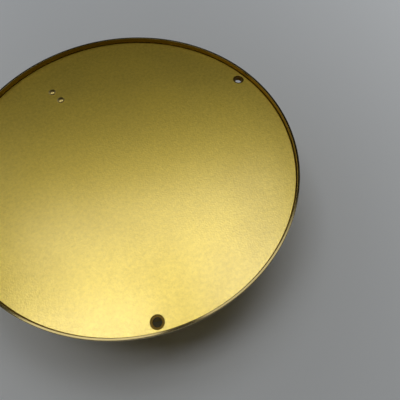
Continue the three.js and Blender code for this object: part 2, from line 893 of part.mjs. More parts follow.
// Lever riveted on the mainspring's free end, reaching out over the rocker's crank.
function mainLever() {
  const half = springTipWidth / 2 - leverEdge;
  const rootX = springTip - leverOverlap;
  const [throatX, throatY] = leverThroat;
  const reach = new THREE.Vector2(linkX - springTip, crankPlace).normalize();
  const side = new THREE.Vector2(-reach.y, reach.x).multiplyScalar(leverWidth / 2);
  const tip = new THREE.Vector2(linkX, crankPlace).addScaledVector(reach, leverWidth / 2);
  const outline = outlineOf([
    [rootX, -half],
    [springTip - leverShoulder, -half],
    [tip.x - side.x, tip.y - side.y],
    [tip.x + side.x, tip.y + side.y],
    [springTip + throatX, throatY],
    [springTip + leverCorner, half],
    [rootX, half],
  ]);
  const holes = [-1, 1].map((way) => {
    return [lockRivetRadius + fitGap, leverRivetX, way * leverRivetY];
  });
  return plate(outline, holes, leverFront, leverBack);
}

function leverRivet(way) {
  const front = leverFront - seatGap;
  const back = springBack + seatGap;
  const profile = [
    [0, front - lockRivetHeight],
    [lockRivetHead, front - lockRivetHeight],
    [lockRivetHead, front],
    [lockRivetRadius, front],
    [lockRivetRadius, back],
    [lockRivetHead, back],
    [lockRivetHead, back + lockRivetHeight],
    [0, back + lockRivetHeight],
  ];
  return turned(profile, smallSteps).translate(leverRivetX, way * leverRivetY, 0);
}

// Bent bracket: foot on the base plate, wall beside the capsule and a shelf for the mainspring.
function springBracket() {
  const shelf = springBack + clampGap;
  const foot = baseFront - seatGap;
  const wall = bracketInner - bracketThickness;
  const body = section(
    [
      [bracketOuter, foot - bracketThickness],
      [wall, foot - bracketThickness],
      [wall, shelf + bracketThickness],
      [springRoot, shelf + bracketThickness],
      [springRoot, shelf],
      [bracketInner, shelf],
      [bracketInner, foot],
      [bracketOuter, foot],
    ],
    springWidth,
  );
  const footDrill = [foot - 2 * bracketThickness, foot + bracketThickness];
  const shelfDrill = [shelf - bracketThickness, shelf + 2 * bracketThickness];
  const drills = [rod(calibrationShank + shankGap, ...footDrill).translate(calibrationX, 0, 0)];
  for (const side of [-1, 1]) {
    const clampHole = rod(screwRadius + shankGap, ...shelfDrill);
    drills.push(clampHole.translate(clampScrewX, side * clampScrewY, 0));
    const footHole = rod(screwRadius + shankGap, ...footDrill);
    drills.push(footHole.translate(bracketScrewX, side * bracketScrewY, 0));
  }
  return cut(body, drills);
}

const clampBack = springFront - clampGap;
const clampFront = clampBack - clampThickness;

function clampPlate() {
  const half = springWidth / 2;
  const edge = clampEdge - workGap;
  const outline = outlineOf([[springRoot, -half], [edge, -half], [edge, half], [springRoot, half]]);
  const holes = [-1, 1].map((side) => [screwRadius + shankGap, clampScrewX, side * clampScrewY]);
  return plate(outline, holes, clampFront, clampBack);
}

function calibrationScrew() {
  const sizes = {
    radius: calibrationShank,
    head: calibrationHead,
    headHeight: calibrationHeadHeight,
    lift: calibrationLift,
  };
  const seat = baseFront - seatGap - bracketThickness;
  return screw(calibrationX, 0, seat, -1, bracketThickness - seatGap, sizes);
}

function basePlate() {
  const holes = [[studThread + shankGap, 0, 0, turnedSteps]];
  for (const angle of pillarAngles) {
    holes.push([screwRadius + shankGap, ...polar(pillarCircle, angle)]);
  }
  for (const side of [-1, 1]) {
    holes.push([screwRadius + shankGap, bracketScrewX, side * bracketScrewY]);
  }
  return plate(circle(baseRadius, ringSteps), holes, baseFront, baseBack);
}

// Cross shaft with its crank under the lever's link and its long arm up to the chain.
function rockerShaft() {
  const [start, end] = rockerEnds;
  const shaft = rod(rockerRadius, 0, end - start).rotateX(-Math.PI / 2).translate(rockerX, start, rockerZ);
  const crank = new THREE.BoxGeometry(crankLength + linkEye, crankWidth, crankThickness);
  crank.translate(rockerX - (crankLength + linkEye) / 2, crankPlace, rockerZ);
  const armFront = chainZ - armTip;
  const arm = new THREE.BoxGeometry(armThickness, armWidth, rockerZ - armFront);
  arm.translate(rockerX, chainY, (rockerZ + armFront) / 2);
  return join([shaft, crank, arm]);
}

// Wire between the lever and the crank, with a small eye at each end.
function leverLink() {
  const front = leverBack + workGap;
  const back = rockerZ - crankThickness / 2 - workGap;
  const profile = [
    [0, front],
    [linkEye, front],
    [linkEye, front + linkEyeHeight],
    [linkRadius, front + linkEyeHeight],
    [linkRadius, back - linkEyeHeight],
    [linkEye, back - linkEyeHeight],
    [linkEye, back],
    [0, back],
  ];
  return turned(profile, smallSteps).translate(linkX, crankPlace, 0);
}

// Block on the base plate beside the shaft's end; side is -1 at the low-Y end and 1 at the high-Y end.
function pivotPostY(side) {
  const end = side < 0 ? rockerEnds[0] : rockerEnds[1];
  return end + side * (workGap + pivotPostThickness / 2);
}

function pivotPost(side) {
  const y = pivotPostY(side);
  const low = rockerX - pivotPostWidth / 2;
  const high = rockerX + pivotPostWidth / 2;
  const front = rockerZ - pivotPostTop;
  const back = baseFront - seatGap;
  const block = section([[low, front], [high, front], [high, back], [low, back]], pivotPostThickness, y);
  const drill = rod(pivotScrewRadius + shankGap, -pivotPostThickness, pivotPostThickness);
  return cut(block, [drill.rotateX(Math.PI / 2).translate(rockerX, y, rockerZ)]);
}

function pivotScrew(side) {
  const sizes = { radius: pivotScrewRadius, head: pivotScrewHead, headHeight: pivotScrewHeadHeight };
  const body = screw(0, 0, 0, 1, pivotPostThickness, sizes);
  const outerFace = pivotPostY(side) + (side * pivotPostThickness) / 2;
  return body.rotateX((-side * Math.PI) / 2).translate(rockerX, outerFace, rockerZ);
}

function chain() {
  const end = rockerX - armThickness / 2 - workGap - shankGap;
  const strip = new THREE.BoxGeometry(end, chainThickness, chainHeight);
  return strip.translate(end / 2, chainY, chainZ);
}

// Case, back plate and clip
addPiece("case_shell", caseShell(), polishedBrass);
addPiece("back_plate", backPlate(), satinBrass);
addPiece("clip_rivet_outer", clipRivet(rivetCircles[0]), polishedBrass);
addPiece("clip_rivet_inner", clipRivet(rivetCircles[1]), polishedBrass);
addPiece("retaining_clip", retainingClip(), springSteel);

// Bezel, glass and set hand
addPiece("bezel", bezel(), polishedBrass);
addPiece("glass_gasket", glassGasket(), blackRubber);
addPiece("glass", glass(), clearGlass);
addPiece("rehaut", rehaut(), polishedBrass);
addPiece("set_knob", setKnob(), polishedBrass);
addPiece("set_washer", setWasher(), springSteel);
addPiece("set_hand", setHand(), polishedBrass);

// Dial
addPiece("dial", dial(), dialPaint);
addPiece("dial_seat", dialSeat(), movementBrass);
pillarAngles.forEach((angle, i) => {
  const [x, y] = polar(pillarCircle, angle);
  addPiece(`dial_screw_${i + 1}`, screw(x, y, dialFront, -1, screwLength), polishedBrass);
  addPiece(`pillar_${i + 1}`, post(pillarRadius, x, y, dialBack + seatGap, baseFront - seatGap), nickel);
  addPiece(`base_screw_${i + 1}`, screw(x, y, baseBack, 1, screwLength), springSteel);
});

// Movement: base plate, capsule and mainspring
addPiece("base_plate", basePlate(), movementBrass);
addPiece("capsule", capsule(), nickel);
addPiece("capsule_nut", capsuleNut(), springSteel);
addPiece("capsule_post", capsulePost(), springSteel);
addPiece("spring_bracket", springBracket(), movementBrass);
addPiece("mainspring", mainspring(), springSteel);
addPiece("clamp_plate", clampPlate(), movementBrass);
addPiece("main_lever", mainLever(), movementBrass);
addPiece("calibration_screw", calibrationScrew(), springSteel);
[-1, 1].forEach((side, i) => {
  const shelfScrew = screw(clampScrewX, side * clampScrewY, clampFront, -1, shortScrewLength);
  addPiece(`clamp_screw_${i + 1}`, shelfScrew, springSteel);
  const footScrew = screw(bracketScrewX, side * bracketScrewY, baseBack, 1, bracketScrewLength);
  addPiece(`bracket_screw_${i + 1}`, footScrew, springSteel);
  addPiece(`lever_rivet_${i + 1}`, leverRivet(side), polishedBrass);
});

// Movement: link, rocker and chain
addPiece("lever_link", leverLink(), springSteel);
addPiece("rocker_shaft", rockerShaft(), springSteel);
addPiece("chain", chain(), springSteel);
[-1, 1].forEach((side, i) => {
  addPiece(`pivot_post_${i + 1}`, pivotPost(side), movementBrass);
  addPiece(`pivot_screw_${i + 1}`, pivotScrew(side), springSteel);
});

// Movement: arbor frame, arbor, hairspring and indicator hand
addPiece("arbor_bridge", arborBridge(), movementBrass);
addPiece("arbor_cock", arborCock(), movementBrass);
[-1, 1].forEach((side, i) => {
  const bridgeY = side * bridgePostCircle;
  const bridgePost = post(bridgePostRadius, 0, bridgeY, bridgeBack + seatGap, baseFront - seatGap);
  addPiece(`bridge_post_${i + 1}`, bridgePost, movementBrass);
  addPiece(`bridge_screw_${i + 1}`, screw(0, bridgeY, bridgeFront, -1, shortScrewLength), springSteel);
  const cockY = side * cockPostCircle;
  const cockPost = post(cockPostRadius, 0, cockY, cockBack + seatGap, bridgeFront - seatGap);
  addPiece(`cock_post_${i + 1}`, cockPost, movementBrass);
  addPiece(`cock_screw_${i + 1}`, screw(0, cockY, cockFront, -1, shortScrewLength), springSteel);
});
addPiece("hand_arbor", handArbor(), springSteel);
addPiece("hairspring", hairspring(), springSteel);
addPiece("hairspring_stud", hairspringStud(), springSteel);
addPiece("indicator_hand", indicatorHand(), blueSteel);
addPiece("hand_boss", handBoss(), polishedBrass);

export default barometer;
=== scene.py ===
import json
import math

import bmesh
import bpy
from mathutils import Matrix, Vector


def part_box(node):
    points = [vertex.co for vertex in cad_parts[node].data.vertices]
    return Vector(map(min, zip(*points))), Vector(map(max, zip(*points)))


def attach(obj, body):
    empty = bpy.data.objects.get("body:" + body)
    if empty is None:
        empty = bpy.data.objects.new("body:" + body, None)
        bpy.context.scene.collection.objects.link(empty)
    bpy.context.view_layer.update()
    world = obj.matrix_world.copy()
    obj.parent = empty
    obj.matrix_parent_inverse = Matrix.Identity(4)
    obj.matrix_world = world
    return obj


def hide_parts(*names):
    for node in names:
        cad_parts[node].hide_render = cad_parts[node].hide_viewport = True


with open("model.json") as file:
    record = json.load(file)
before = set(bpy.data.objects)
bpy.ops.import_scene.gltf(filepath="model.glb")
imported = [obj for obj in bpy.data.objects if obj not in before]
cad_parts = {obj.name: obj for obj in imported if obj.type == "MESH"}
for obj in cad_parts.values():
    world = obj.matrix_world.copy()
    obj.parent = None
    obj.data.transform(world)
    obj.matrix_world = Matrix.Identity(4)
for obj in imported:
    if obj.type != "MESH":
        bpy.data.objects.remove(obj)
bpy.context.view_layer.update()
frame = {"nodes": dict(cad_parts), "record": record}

MM = 0.001
TAU = 2 * math.pi
FAR = 9.0  # how far an open profile's end legs reach, before they are left out
SAME_LEVEL = 1e-4
ON_AXIS = 1e-6
JOIN_PRINT = 1e-6
JOIN_SHEET = 1e-5
JOIN_NODE = 1e-6  # metres

# Facets
RING_STEPS = 256
WINDOW_STEPS = 128
SMALL_STEPS = 48
EYE_STEPS = 24
GROOVE_STEPS = 12
FEWEST_EDGE_STEPS = 3
MOST_EDGE_STEPS = 20
EDGE_STEP_RATE = 6  # steps of a rounding, for each root of a millimetre that it takes
BEVEL_STEPS = 3
FONT_STEPS = 4
LINE_DEGREES = 3  # length of the pieces of a line printed round the dial

# Edges: rounding, and the angle in degrees from which one is sharp on a sheet or slotted piece,
# and on the CAD's own nodes
EDGE = 0.08
SHARP_SHEET = 35
SHARP_NODE = 32

# Case and back plate
FLANGE_WIDTH = 13
FLANGE_THICKNESS = 1.9
FLANGE_COVE = 1.8
DRUM_WALL = 1.1
DRUM_EASE = 0.25
RIM_ROLL = 2.6
RIM_OUTER_EASE = 0.18
RIM_INNER_EASE = 0.1
PLATE_GAP = 0.28
PLATE_EASE = 0.1
SEAT_GAP = 0.05
MOUNT_INSET = 4.4
MOUNT_ANGLES = (-90, 30, 150)
PLATE_HOLE = 2.5
FLANGE_HOLE = 1.65

# Rivets of the clip
RIVET_SHANK = 0.8
RIVET_TAIL = 1.4
RIVET_TAIL_HEIGHT = 0.6
RIVET_TAIL_EASE = 0.15
RIVET_EASE = 0.05
RIVET_SEAT_EASE = 0.04
RIVET_DOME = 0.62
RIVET_DOME_SHARE = 0.98  # of the head's radius

# Bezel and the rings inside it
BEZEL_INNER = 50.6
BEZEL_BEVEL = 1.0
BEZEL_BEVEL_EASE = 0.3
BEZEL_CROWN = 6.5
BEZEL_CROWN_WIDTH = 5.3
BEZEL_EASE = 0.4
BEZEL_WALL = 2.35
BEZEL_WALL_EASE = 0.2
BEZEL_SKIRT = 5.7
BEZEL_STEP_EASE = 0.3
BEZEL_SEAT_EASE = 0.1
BEZEL_LIP = 1.15
BEZEL_LIP_EASE = 0.25
GLASS_PLAY = 0.3
GLASS_EASE = 0.3
GLASS_HOLE = 1.7
GLASS_HOLE_EASE = 0.2
GASKET_WIDTH = 3.2
GASKET_EASE = 0.22
REHAUT_TOP = 2.0
REHAUT_FOOT = 4.5
REHAUT_EASE = 0.2
REHAUT_FOOT_EASE = 0.12

# Dial
DIAL_WINDOW = 16.0
DIAL_CIRCLE = 34.0
DIAL_ACCESS = 2.2
DIAL_SCREW_HOLE = 1.1
DIAL_SCREW_ANGLES = (90, -50, -130)

# Scales: ticks are (step on the scale, length, width), and figures are (distance inside the ring,
# height)
INK_THICKNESS = 0.03
FONT_CAP = 0.7  # height of the font's figures, as a share of its size
INCH_LOW = 28
INCH_HIGH = 31
INCH_MIDDLE = 29.5
DEGREES_PER_INCH = 100
INCH_RING = 43.4
INCH_LINE = 0.25
INCH_TICKS = ((100, 4.2, 0.55), (10, 3.0, 0.34), (5, 2.0, 0.2), (1, 1.3, 0.14))
INCH_FIGURE = (5.2, 5.4)
TENTH_FIGURE = (2.4, 2.2)
HPA_PER_INCH = 33.8639
HPA_LOW = 949
HPA_HIGH = 1049
HPA_RING = 26.6
HPA_LINE = 0.2
HPA_TICKS = ((10, 1.9, 0.28), (5, 1.4, 0.18), (1, 1.0, 0.13))
HPA_FIGURE = (1.9, 1.9)
WINDOW_MARGIN = 1.2
WINDOW_LINE = 0.35

# Hands (reach, tail, eye's radius, tip, root, hole)
SET_HAND = (40, 9, 4, 0.9, 2, 1.55)
INDICATOR_HAND = (45, 14, 3.6, 0.8, 2.2, 1.7)
HAND_EASE = 0.12
EYE_NECK = 0.75  # how far from the eye's middle the blade ends, as a share of its radius

# Boss, washer, knob and screws
BOSS_BORE = 0.85
BOSS_NECK = 1.65
BOSS_STEP = 0.7
BOSS_EASE = 0.1
BOSS_FACE_EASE = 0.35
BOSS_STEP_EASE = 0.08
BOSS_NECK_EASE = 0.04
WASHER_BORE = 1.55
WASHER_BORE_EASE = 0.06
WASHER_EASE = 0.15
KNOB_RADIUS = 4.6
KNOB_HEIGHT = 4.6
KNOB_FACE_EASE = 0.5
KNOB_BACK_EASE = 0.3
KNOB_GROOVES = 20
KNOB_GROOVE = 0.35
KNOB_FADE = 4  # how fast the grooves fade towards the spindle
KNOB_WAVE = 0.7  # below 1, the grooves are wider than the ridges
SPINDLE_RADIUS = 1.5
SPINDLE_ROOT_EASE = 0.1
SPINDLE_EASE = 0.25
SCREW_RADIUS = 1.0
SCREW_HEAD_EASE = 0.22
SCREW_NECK_EASE = 0.06
SCREW_END_EASE = 0.3
SLOT_WIDTH = 0.5
SLOT_DEPTH = 0.4
SLOT_START = 25  # degrees
SLOT_TURN = 70  # degrees from one screw to the next

# Surfaces: sizes in millimetres; a range is the part of a noise's values that is used
METAL_CLOUD = 24
METAL_CLOUD_RANGE = (0.42, 0.72)
METAL_DULLNESS = 0.5
METAL_SPREAD = 0.03
SPECK_RANGE = (0.35, 0.7)
SPECK_TINT = (0.72, 0.695, 0.6)
COAT_ROUGHNESS = 0.24
COAT_IOR = 1.82
PAINT_CLOUD = 18
PAINT_MOTTLE = 4
PAINT_SMOOTHER = 0.04
PAINT_ROUGHER = 0.06
GLASS_TINT = (0.93, 0.975, 0.965, 1)
GLASS_IOR = 1.52
GLASS_SMEAR = 14
GLASS_SMEAR_RANGE = (0.4, 0.8)
GLASS_ROUGHNESS = 0.03

# Camera, from the outline of the rim in the photograph: lengths in rim radii, along the picture's
# right, down and into the picture
PHOTO_WIDTH = 400
FOCAL_PIXELS = 369.3
SENSOR_WIDTH = 36.0
CLIP_START = 0.005  # metres
RIM_CENTRE = Vector((-0.423, -0.246, 2.145))
BACK_NORMAL = Vector((0.009, -0.445, -0.8955))
DIAL_TURN = -13.5  # degrees, from the picture's right to 3 o'clock

# Floor, in metres, and its colours, whose clouds are in millimetres
FLOOR_HALF = 6.0
FLOOR_FADE = (0.09, 0.6)
FLOOR_CLOUD = 60
FLOOR_COLOUR = (0.85, 0.895, 0.94)
FLOOR_SECOND = (0.87, 0.91, 0.955)
FLOOR_ROUGHNESS = 0.9
FLOOR_SPECULAR = 0.1

# Colours of the room, and where the pale backdrop ends as a share of the way up; on the far side it
# ends lower
BACKDROP_PALE = (0.74, 0.77, 0.80)
BACKDROP_DIM = (0.38, 0.41, 0.44)
BACKDROP_SIDES = (0.05, 0.95)
BACKDROP_FALL = (0.38, 0.62)
FAR_SIDE_SINK = 0.4
FAR_SIDE_POWER = 3.0
LOW_LIGHT = (0.04, 0.042, 0.045)
ROOM_DARK = (0.020, 0.015, 0.005)
ROOM_TOP = (0.12, 0.10, 0.07)
ROOM_TOP_RANGE = (0.9, 1.0)

# Softboxes: centre, width and depth, radiance, and the point that the face looks at, in metres
SOFTBOXES = {
    "softbox_far": ((-0.01, 0.39, 1.04), (0.90, 0.27), 1.58, (-0.01, 0.39, 0)),
    "softbox_right": ((0.255, 0.155, 1.04), (0.38, 0.29), 2.62, (0.255, 0.155, 0)),
    "softbox_left": ((-0.29, 0.06, 1.04), (0.46, 0.28), 3.14, (-0.29, 0.06, 0)),
    "softbox_side": ((-0.70, 0.55, 0.75), (0.50, 0.50), 0.2, (0, 0, 0)),
}


def span(node_name):
    """Lowest and highest corner of a CAD node, in millimetres."""
    low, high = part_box(node_name)
    return low / MM, high / MM


CASE_LOW, CASE_HIGH = span("case_shell")
PLATE_LOW, PLATE_HIGH = span("back_plate")
BEZEL_LOW, BEZEL_HIGH = span("bezel")
RIM_RADIUS = CASE_HIGH.x
RIM_INNER = PLATE_HIGH.x + PLATE_GAP
RIM_BACK = CASE_HIGH.z
DRUM_FRONT = CASE_LOW.z
FLANGE_BACK = PLATE_LOW.z - SEAT_GAP
FLANGE_FRONT = FLANGE_BACK - FLANGE_THICKNESS
DRUM_OUTER = RIM_RADIUS - FLANGE_WIDTH
DRUM_INNER = DRUM_OUTER - DRUM_WALL
MOUNT_CIRCLE = RIM_RADIUS - MOUNT_INSET


def same(level, other):
    """Whether two heights are one."""
    return abs(level - other) < SAME_LEVEL


def polar(radius, degrees):
    angle = math.radians(degrees)
    return radius * math.cos(angle), radius * math.sin(angle)


def eased(corners, closed=True):
    """Points (radius, z) and normals along a profile whose corners are rounded. A corner is
    (radius, z), with the lengths that its rounding takes before and after it, where they aren't
    EDGE."""
    spots = []
    count = len(corners)
    for i, corner in enumerate(corners):
        here = Vector(corner[:2])
        if not closed and i in (0, count - 1):
            other = Vector(corners[1 if i == 0 else i - 1][:2])
            way = (other - here) if i == 0 else (here - other)
            spots.append((here, Vector((way.y, -way.x)).normalized()))
            continue
        into = (here - Vector(corners[i - 1][:2])).normalized()
        onward = (Vector(corners[(i + 1) % count][:2]) - here).normalized()
        legs = corner[2:] or (EDGE,)
        before, after = into * legs[0], onward * legs[-1]
        wanted = round(EDGE_STEP_RATE * math.sqrt(max(legs)))
        steps = min(MOST_EDGE_STEPS, max(FEWEST_EDGE_STEPS, wanted))
        for k in range(steps + 1):
            turn = TAU / 4 * k / steps
            spot = here - before + before * math.sin(turn) + after * (1 - math.cos(turn))
            way = before * math.cos(turn) + after * math.sin(turn)
            spots.append((spot, Vector((way.y, -way.x)).normalized()))
    return spots


def hole_wall(radius, front, back, ease=EDGE):
    """Profile of a round hole, from the back face to the front face."""
    far = radius + FAR
    corners = [(far, back), (radius, back, ease), (radius, front, ease), (far, front)]
    return eased(corners, closed=False)[1:-1]


def outer_wall(radius, front, back, ease=EDGE):
    """Profile of a disc's outside, from the front face to the back face."""
    near = radius - FAR
    corners = [(near, front), (radius, front, ease), (radius, back, ease), (near, back)]
    return eased(corners, closed=False)[1:-1]


def new_object(name, data):
    made = bpy.data.objects.new(name, data)
    bpy.context.scene.collection.objects.link(made)
    return made


def evaluated_mesh(drawn):
    """New mesh of an object as its curves or its modifiers shape it."""
    graph = bpy.context.evaluated_depsgraph_get()
    return bpy.data.meshes.new_from_object(drawn.evaluated_get(graph))


def placed(mesh, name, materials, body, slot, *replaced):
    """The mesh as a piece that rides on a body and stands for CAD nodes."""
    for material in materials if isinstance(materials, tuple) else (materials,):
        mesh.materials.append(material)
    piece = new_object(name, mesh)
    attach(piece, body)
    if replaced:
        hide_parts(*replaced)
    return piece


class Skin:
    """Points, normals and faces of one closed piece, in millimetres."""

    def __init__(self):
        self.points = []
        self.normals = []
        self.faces = []
        self.looks = []  # number of each face's material

    def paint(self, number):
        """Gives the faces made since the last call a material number."""
        self.looks += [number] * (len(self.faces) - len(self.looks))

    def rings(self, profile, steps, centre=(0, 0)):
        """Turns a profile about an upright axis. Gives its rings of point numbers; a pole is one
        point."""
        made = []
        for spot, normal in profile:
            start = len(self.points)
            around = 1 if spot.x < ON_AXIS else steps
            for i in range(around):
                angle = TAU * i / steps - TAU / 4
                across, along = math.cos(angle), math.sin(angle)
                place = (centre[0] + spot.x * across, centre[1] + spot.x * along, spot.y)
                self.points.append(place)
                self.normals.append((normal.x * across, normal.x * along, normal.y))
            made.append(list(range(start, start + around)))
        return made

    def band(self, low, high):
        """Faces between two rings."""
        steps = max(len(low), len(high))
        for i in range(steps):
            j = (i + 1) % steps
            if len(low) == 1:
                self.faces.append((low[0], high[j], high[i]))
            elif len(high) == 1:
                self.faces.append((low[i], low[j], high[0]))
            else:
                self.faces.append((low[i], low[j], high[j], high[i]))

    def bands(self, rings, closed=False):
        """Faces along a turned profile."""
        following = rings[1:] + (rings[:1] if closed else [])
        for low, high in zip(rings, following):
            self.band(low, high)

    def fill(self, rings, facing):
        """Flat face between an outer ring and those inside it; facing is 1 to the back and -1 to
        the front."""
        flat = bmesh.new()
        spots = [i for ring in rings for i in ring]
        made = [flat.verts.new(self.points[i]) for i in spots]
        start = 0
        for ring in rings:
            for k in range(len(ring)):
                flat.edges.new((made[start + k], made[start + (k + 1) % len(ring)]))
            start += len(ring)
        bmesh.ops.triangle_fill(flat, use_beauty=True, edges=flat.edges[:])
        flat.verts.index_update()
        for face in flat.faces:
            face.normal_update()
            corners = [spots[corner.index] for corner in face.verts]
            self.faces.append(corners if face.normal.z * facing > 0 else corners[::-1])
        flat.free()

    def finish(self, name, materials, body, slot, *replaced):
        """The skin as a piece; faces that aren't painted have its first material."""
        mesh = bpy.data.meshes.new(name)
        mesh.from_pydata([Vector(point) * MM for point in self.points], [], self.faces)
        mesh.polygons.foreach_set("use_smooth", [True] * len(mesh.polygons))
        self.paint(0)
        mesh.polygons.foreach_set("material_index", self.looks)
        mesh.normals_split_custom_set_from_vertices(self.normals)
        return placed(mesh, name, materials, body, slot, *replaced)


def turned_ring(name, corners, steps, material, body, slot, *replaced):
    skin = Skin()
    skin.bands(skin.rings(eased(corners), steps), closed=True)
    return skin.finish(name, material, body, slot, *replaced)


def turned_bar(name, corners, centre, material, body, slot, *replaced):
    """Small solid piece, turned about an upright axis that goes through it."""
    skin = Skin()
    skin.bands(skin.rings(eased(corners, closed=False), SMALL_STEPS, centre))
    return skin.finish(name, material, body, slot, *replaced)


def pierced_disc(name, low, high, ease, holes, material, body, slot, *replaced):
    """Round disc between two corners of its box, with holes of (x, y, radius, steps)."""
    skin = Skin()
    edge = skin.rings(outer_wall(high.x, low.z, high.z, ease), RING_STEPS)
    skin.bands(edge)
    walls = []
    for x, y, radius, steps in holes:
        walls.append(skin.rings(hole_wall(radius, low.z, high.z, ease), steps, (x, y)))
        skin.bands(walls[-1])
    skin.fill([edge[-1]] + [wall[0] for wall in walls], 1)
    skin.fill([edge[0]] + [wall[-1] for wall in walls], -1)
    return skin.finish(name, material, body, slot, *replaced)


def node(tree, kind, inputs=None, **settings):
    """A shader node; an input is a value or another node's output."""
    made = tree.nodes.new("ShaderNode" + kind)
    for key, value in settings.items():
        setattr(made, key, value)
    for key, value in (inputs or {}).items():
        if isinstance(value, bpy.types.NodeSocket):
            tree.links.new(value, made.inputs[key])
        else:
            made.inputs[key].default_value = value
    return made


def reckoned(tree, operation, *values, **settings):
    """Result of a Math node."""
    inputs = dict(enumerate(values))
    return node(tree, "Math", inputs, operation=operation, **settings).outputs[0]


def blank_material(name):
    material = bpy.data.materials.new(name)
    material.use_nodes = True
    material.node_tree.nodes.clear()
    return material, material.node_tree


def close_material(tree, shader):
    node(tree, "OutputMaterial", {"Surface": shader.outputs[0]})


def object_place(tree):
    return node(tree, "TexCoord").outputs["Object"]


def noise(tree, place, size, detail=2, roughness=0.5):
    """Noise whose blotches are about size millimetres across."""
    inputs = {"Vector": place, "Scale": 1 / (size * MM), "Detail": detail, "Roughness": roughness}
    return node(tree, "TexNoise", inputs).outputs["Fac"]


def relief(tree, height, depth):
    """Normal of a fine relief that is depth millimetres high."""
    inputs = {"Strength": 1.0, "Distance": depth * MM, "Height": height}
    return node(tree, "Bump", inputs).outputs[0]


def ranged(tree, value, low, high, start=0.3, end=0.7):
    """The value's range from start to end, stretched to low to high."""
    inputs = {"Value": value, "From Min": start, "From Max": end, "To Min": low, "To Max": high}
    return node(tree, "MapRange", inputs).outputs["Result"]


def mixed(tree, factor, first, second, blend="MIX"):
    made = node(tree, "Mix", data_type="RGBA", blend_type=blend)
    sockets = (made.inputs[0], made.inputs[6], made.inputs[7])
    for socket, value in zip(sockets, (factor, first, second)):
        if isinstance(value, bpy.types.NodeSocket):
            tree.links.new(value, socket)
        elif hasattr(value, "__len__"):
            socket.default_value = (*value, 1)
        else:
            socket.default_value = value
    return made.outputs[2]


def turning_place(tree, place):
    """Distance from the dial's axis and height, for lines that run round the axis."""
    apart = node(tree, "SeparateXYZ", {0: place}).outputs
    flat = node(tree, "CombineXYZ", {0: apart[0], 1: apart[1]}).outputs[0]
    radius = node(tree, "VectorMath", {0: flat}, operation="LENGTH").outputs["Value"]
    return node(tree, "CombineXYZ", {0: radius, 1: apart[2]}).outputs[0]


def metal(name, colour, dull, roughness, lines=None, grain=(0.45, 0.003), stretch=(1, 1, 1),
          coat=0.0, speckle=(0.8, 0.15)):
    """Metal with clouds of duller colour, specks of (size, strength), and a fine relief of
    (size, height): lines that run round the dial's axis, or a grain that may be stretched along
    one axis, as brushing is."""
    material, tree = blank_material(name)
    place = object_place(tree)
    cloud = noise(tree, place, METAL_CLOUD, detail=4, roughness=0.6)
    speck = noise(tree, place, speckle[0], detail=4, roughness=0.75)
    duller = ranged(tree, cloud, 0, METAL_DULLNESS, *METAL_CLOUD_RANGE)
    tone = mixed(tree, duller, colour, dull)
    specked = ranged(tree, speck, 0, speckle[1], *SPECK_RANGE)
    tone = mixed(tree, specked, tone, SPECK_TINT, "MULTIPLY")
    if lines:
        height = noise(tree, turning_place(tree, place), lines[0], detail=2, roughness=0.7)
    else:
        long_place = node(tree, "Mapping", {"Vector": place, "Scale": stretch}).outputs[0]
        height = noise(tree, long_place, grain[0], detail=2, roughness=0.6)
    normal = relief(tree, height, (lines or grain)[1])
    rough = ranged(tree, cloud, roughness - METAL_SPREAD / 2, roughness + METAL_SPREAD)
    inputs = {"Base Color": tone, "Metallic": 1.0, "Roughness": rough, "Normal": normal}
    inputs.update({"Coat Weight": coat, "Coat Roughness": COAT_ROUGHNESS, "Coat IOR": COAT_IOR})
    close_material(tree, node(tree, "BsdfPrincipled", inputs))
    return material


def coating(name, colour, second, roughness, size, height):
    """Paint or rubber with a slightly uneven tone and a fine relief of that size and height."""
    material, tree = blank_material(name)
    place = object_place(tree)
    cloud = noise(tree, place, PAINT_CLOUD, detail=4)
    tone = mixed(tree, ranged(tree, cloud, 0, 1), colour, second)
    normal = relief(tree, noise(tree, place, size), height)
    mottle = noise(tree, place, PAINT_MOTTLE, detail=3)
    rough = ranged(tree, mottle, roughness - PAINT_SMOOTHER, roughness + PAINT_ROUGHER)
    inputs = {"Base Color": tone, "Roughness": rough, "Normal": normal}
    close_material(tree, node(tree, "BsdfPrincipled", inputs))
    return material


def glazing(name):
    material, tree = blank_material(name)
    smear = noise(tree, object_place(tree), GLASS_SMEAR, detail=4, roughness=0.7)
    rough = ranged(tree, smear, 0.0, GLASS_ROUGHNESS, *GLASS_SMEAR_RANGE)
    inputs = {"Base Color": GLASS_TINT, "Roughness": rough}
    inputs.update({"IOR": GLASS_IOR, "Transmission Weight": 1.0})
    close_material(tree, node(tree, "BsdfPrincipled", inputs))
    return material


SATIN_BRASS = metal("satin_brass", (0.895, 0.695, 0.104), (0.82, 0.625, 0.08), 0.37,
                    grain=(0.7, 0.09), coat=1.0, speckle=(1.3, 0.75))
CASE_BRASS = metal("case_brass", (0.85, 0.66, 0.22), (0.74, 0.55, 0.15), 0.13, (0.12, 0.0006))
# Rivet heads: brass darkened as painted shade, which dims their highlights.
RIVET_BRASS_PAINTED_SHADE = metal("rivet_brass_painted_shade", (0.47, 0.37, 0.13), (0.38, 0.29, 0.09), 0.28,
                    grain=(0.3, 0.004))
# The rim's top edge: brass darkened as painted shade, so that it reflects little.
EDGE_BRASS_PAINTED_SHADE = metal("edge_brass_painted_shade", (0.21, 0.17, 0.075), (0.17, 0.135, 0.055), 0.1, (0.2, 0.002))
# Darkest brass: painted shade in the fixing holes and under the plate.
PAINTED_SHADE_BRASS = metal("painted_shade_brass", (0.12, 0.075, 0.014), (0.08, 0.05, 0.009), 0.4, (0.3, 0.002))
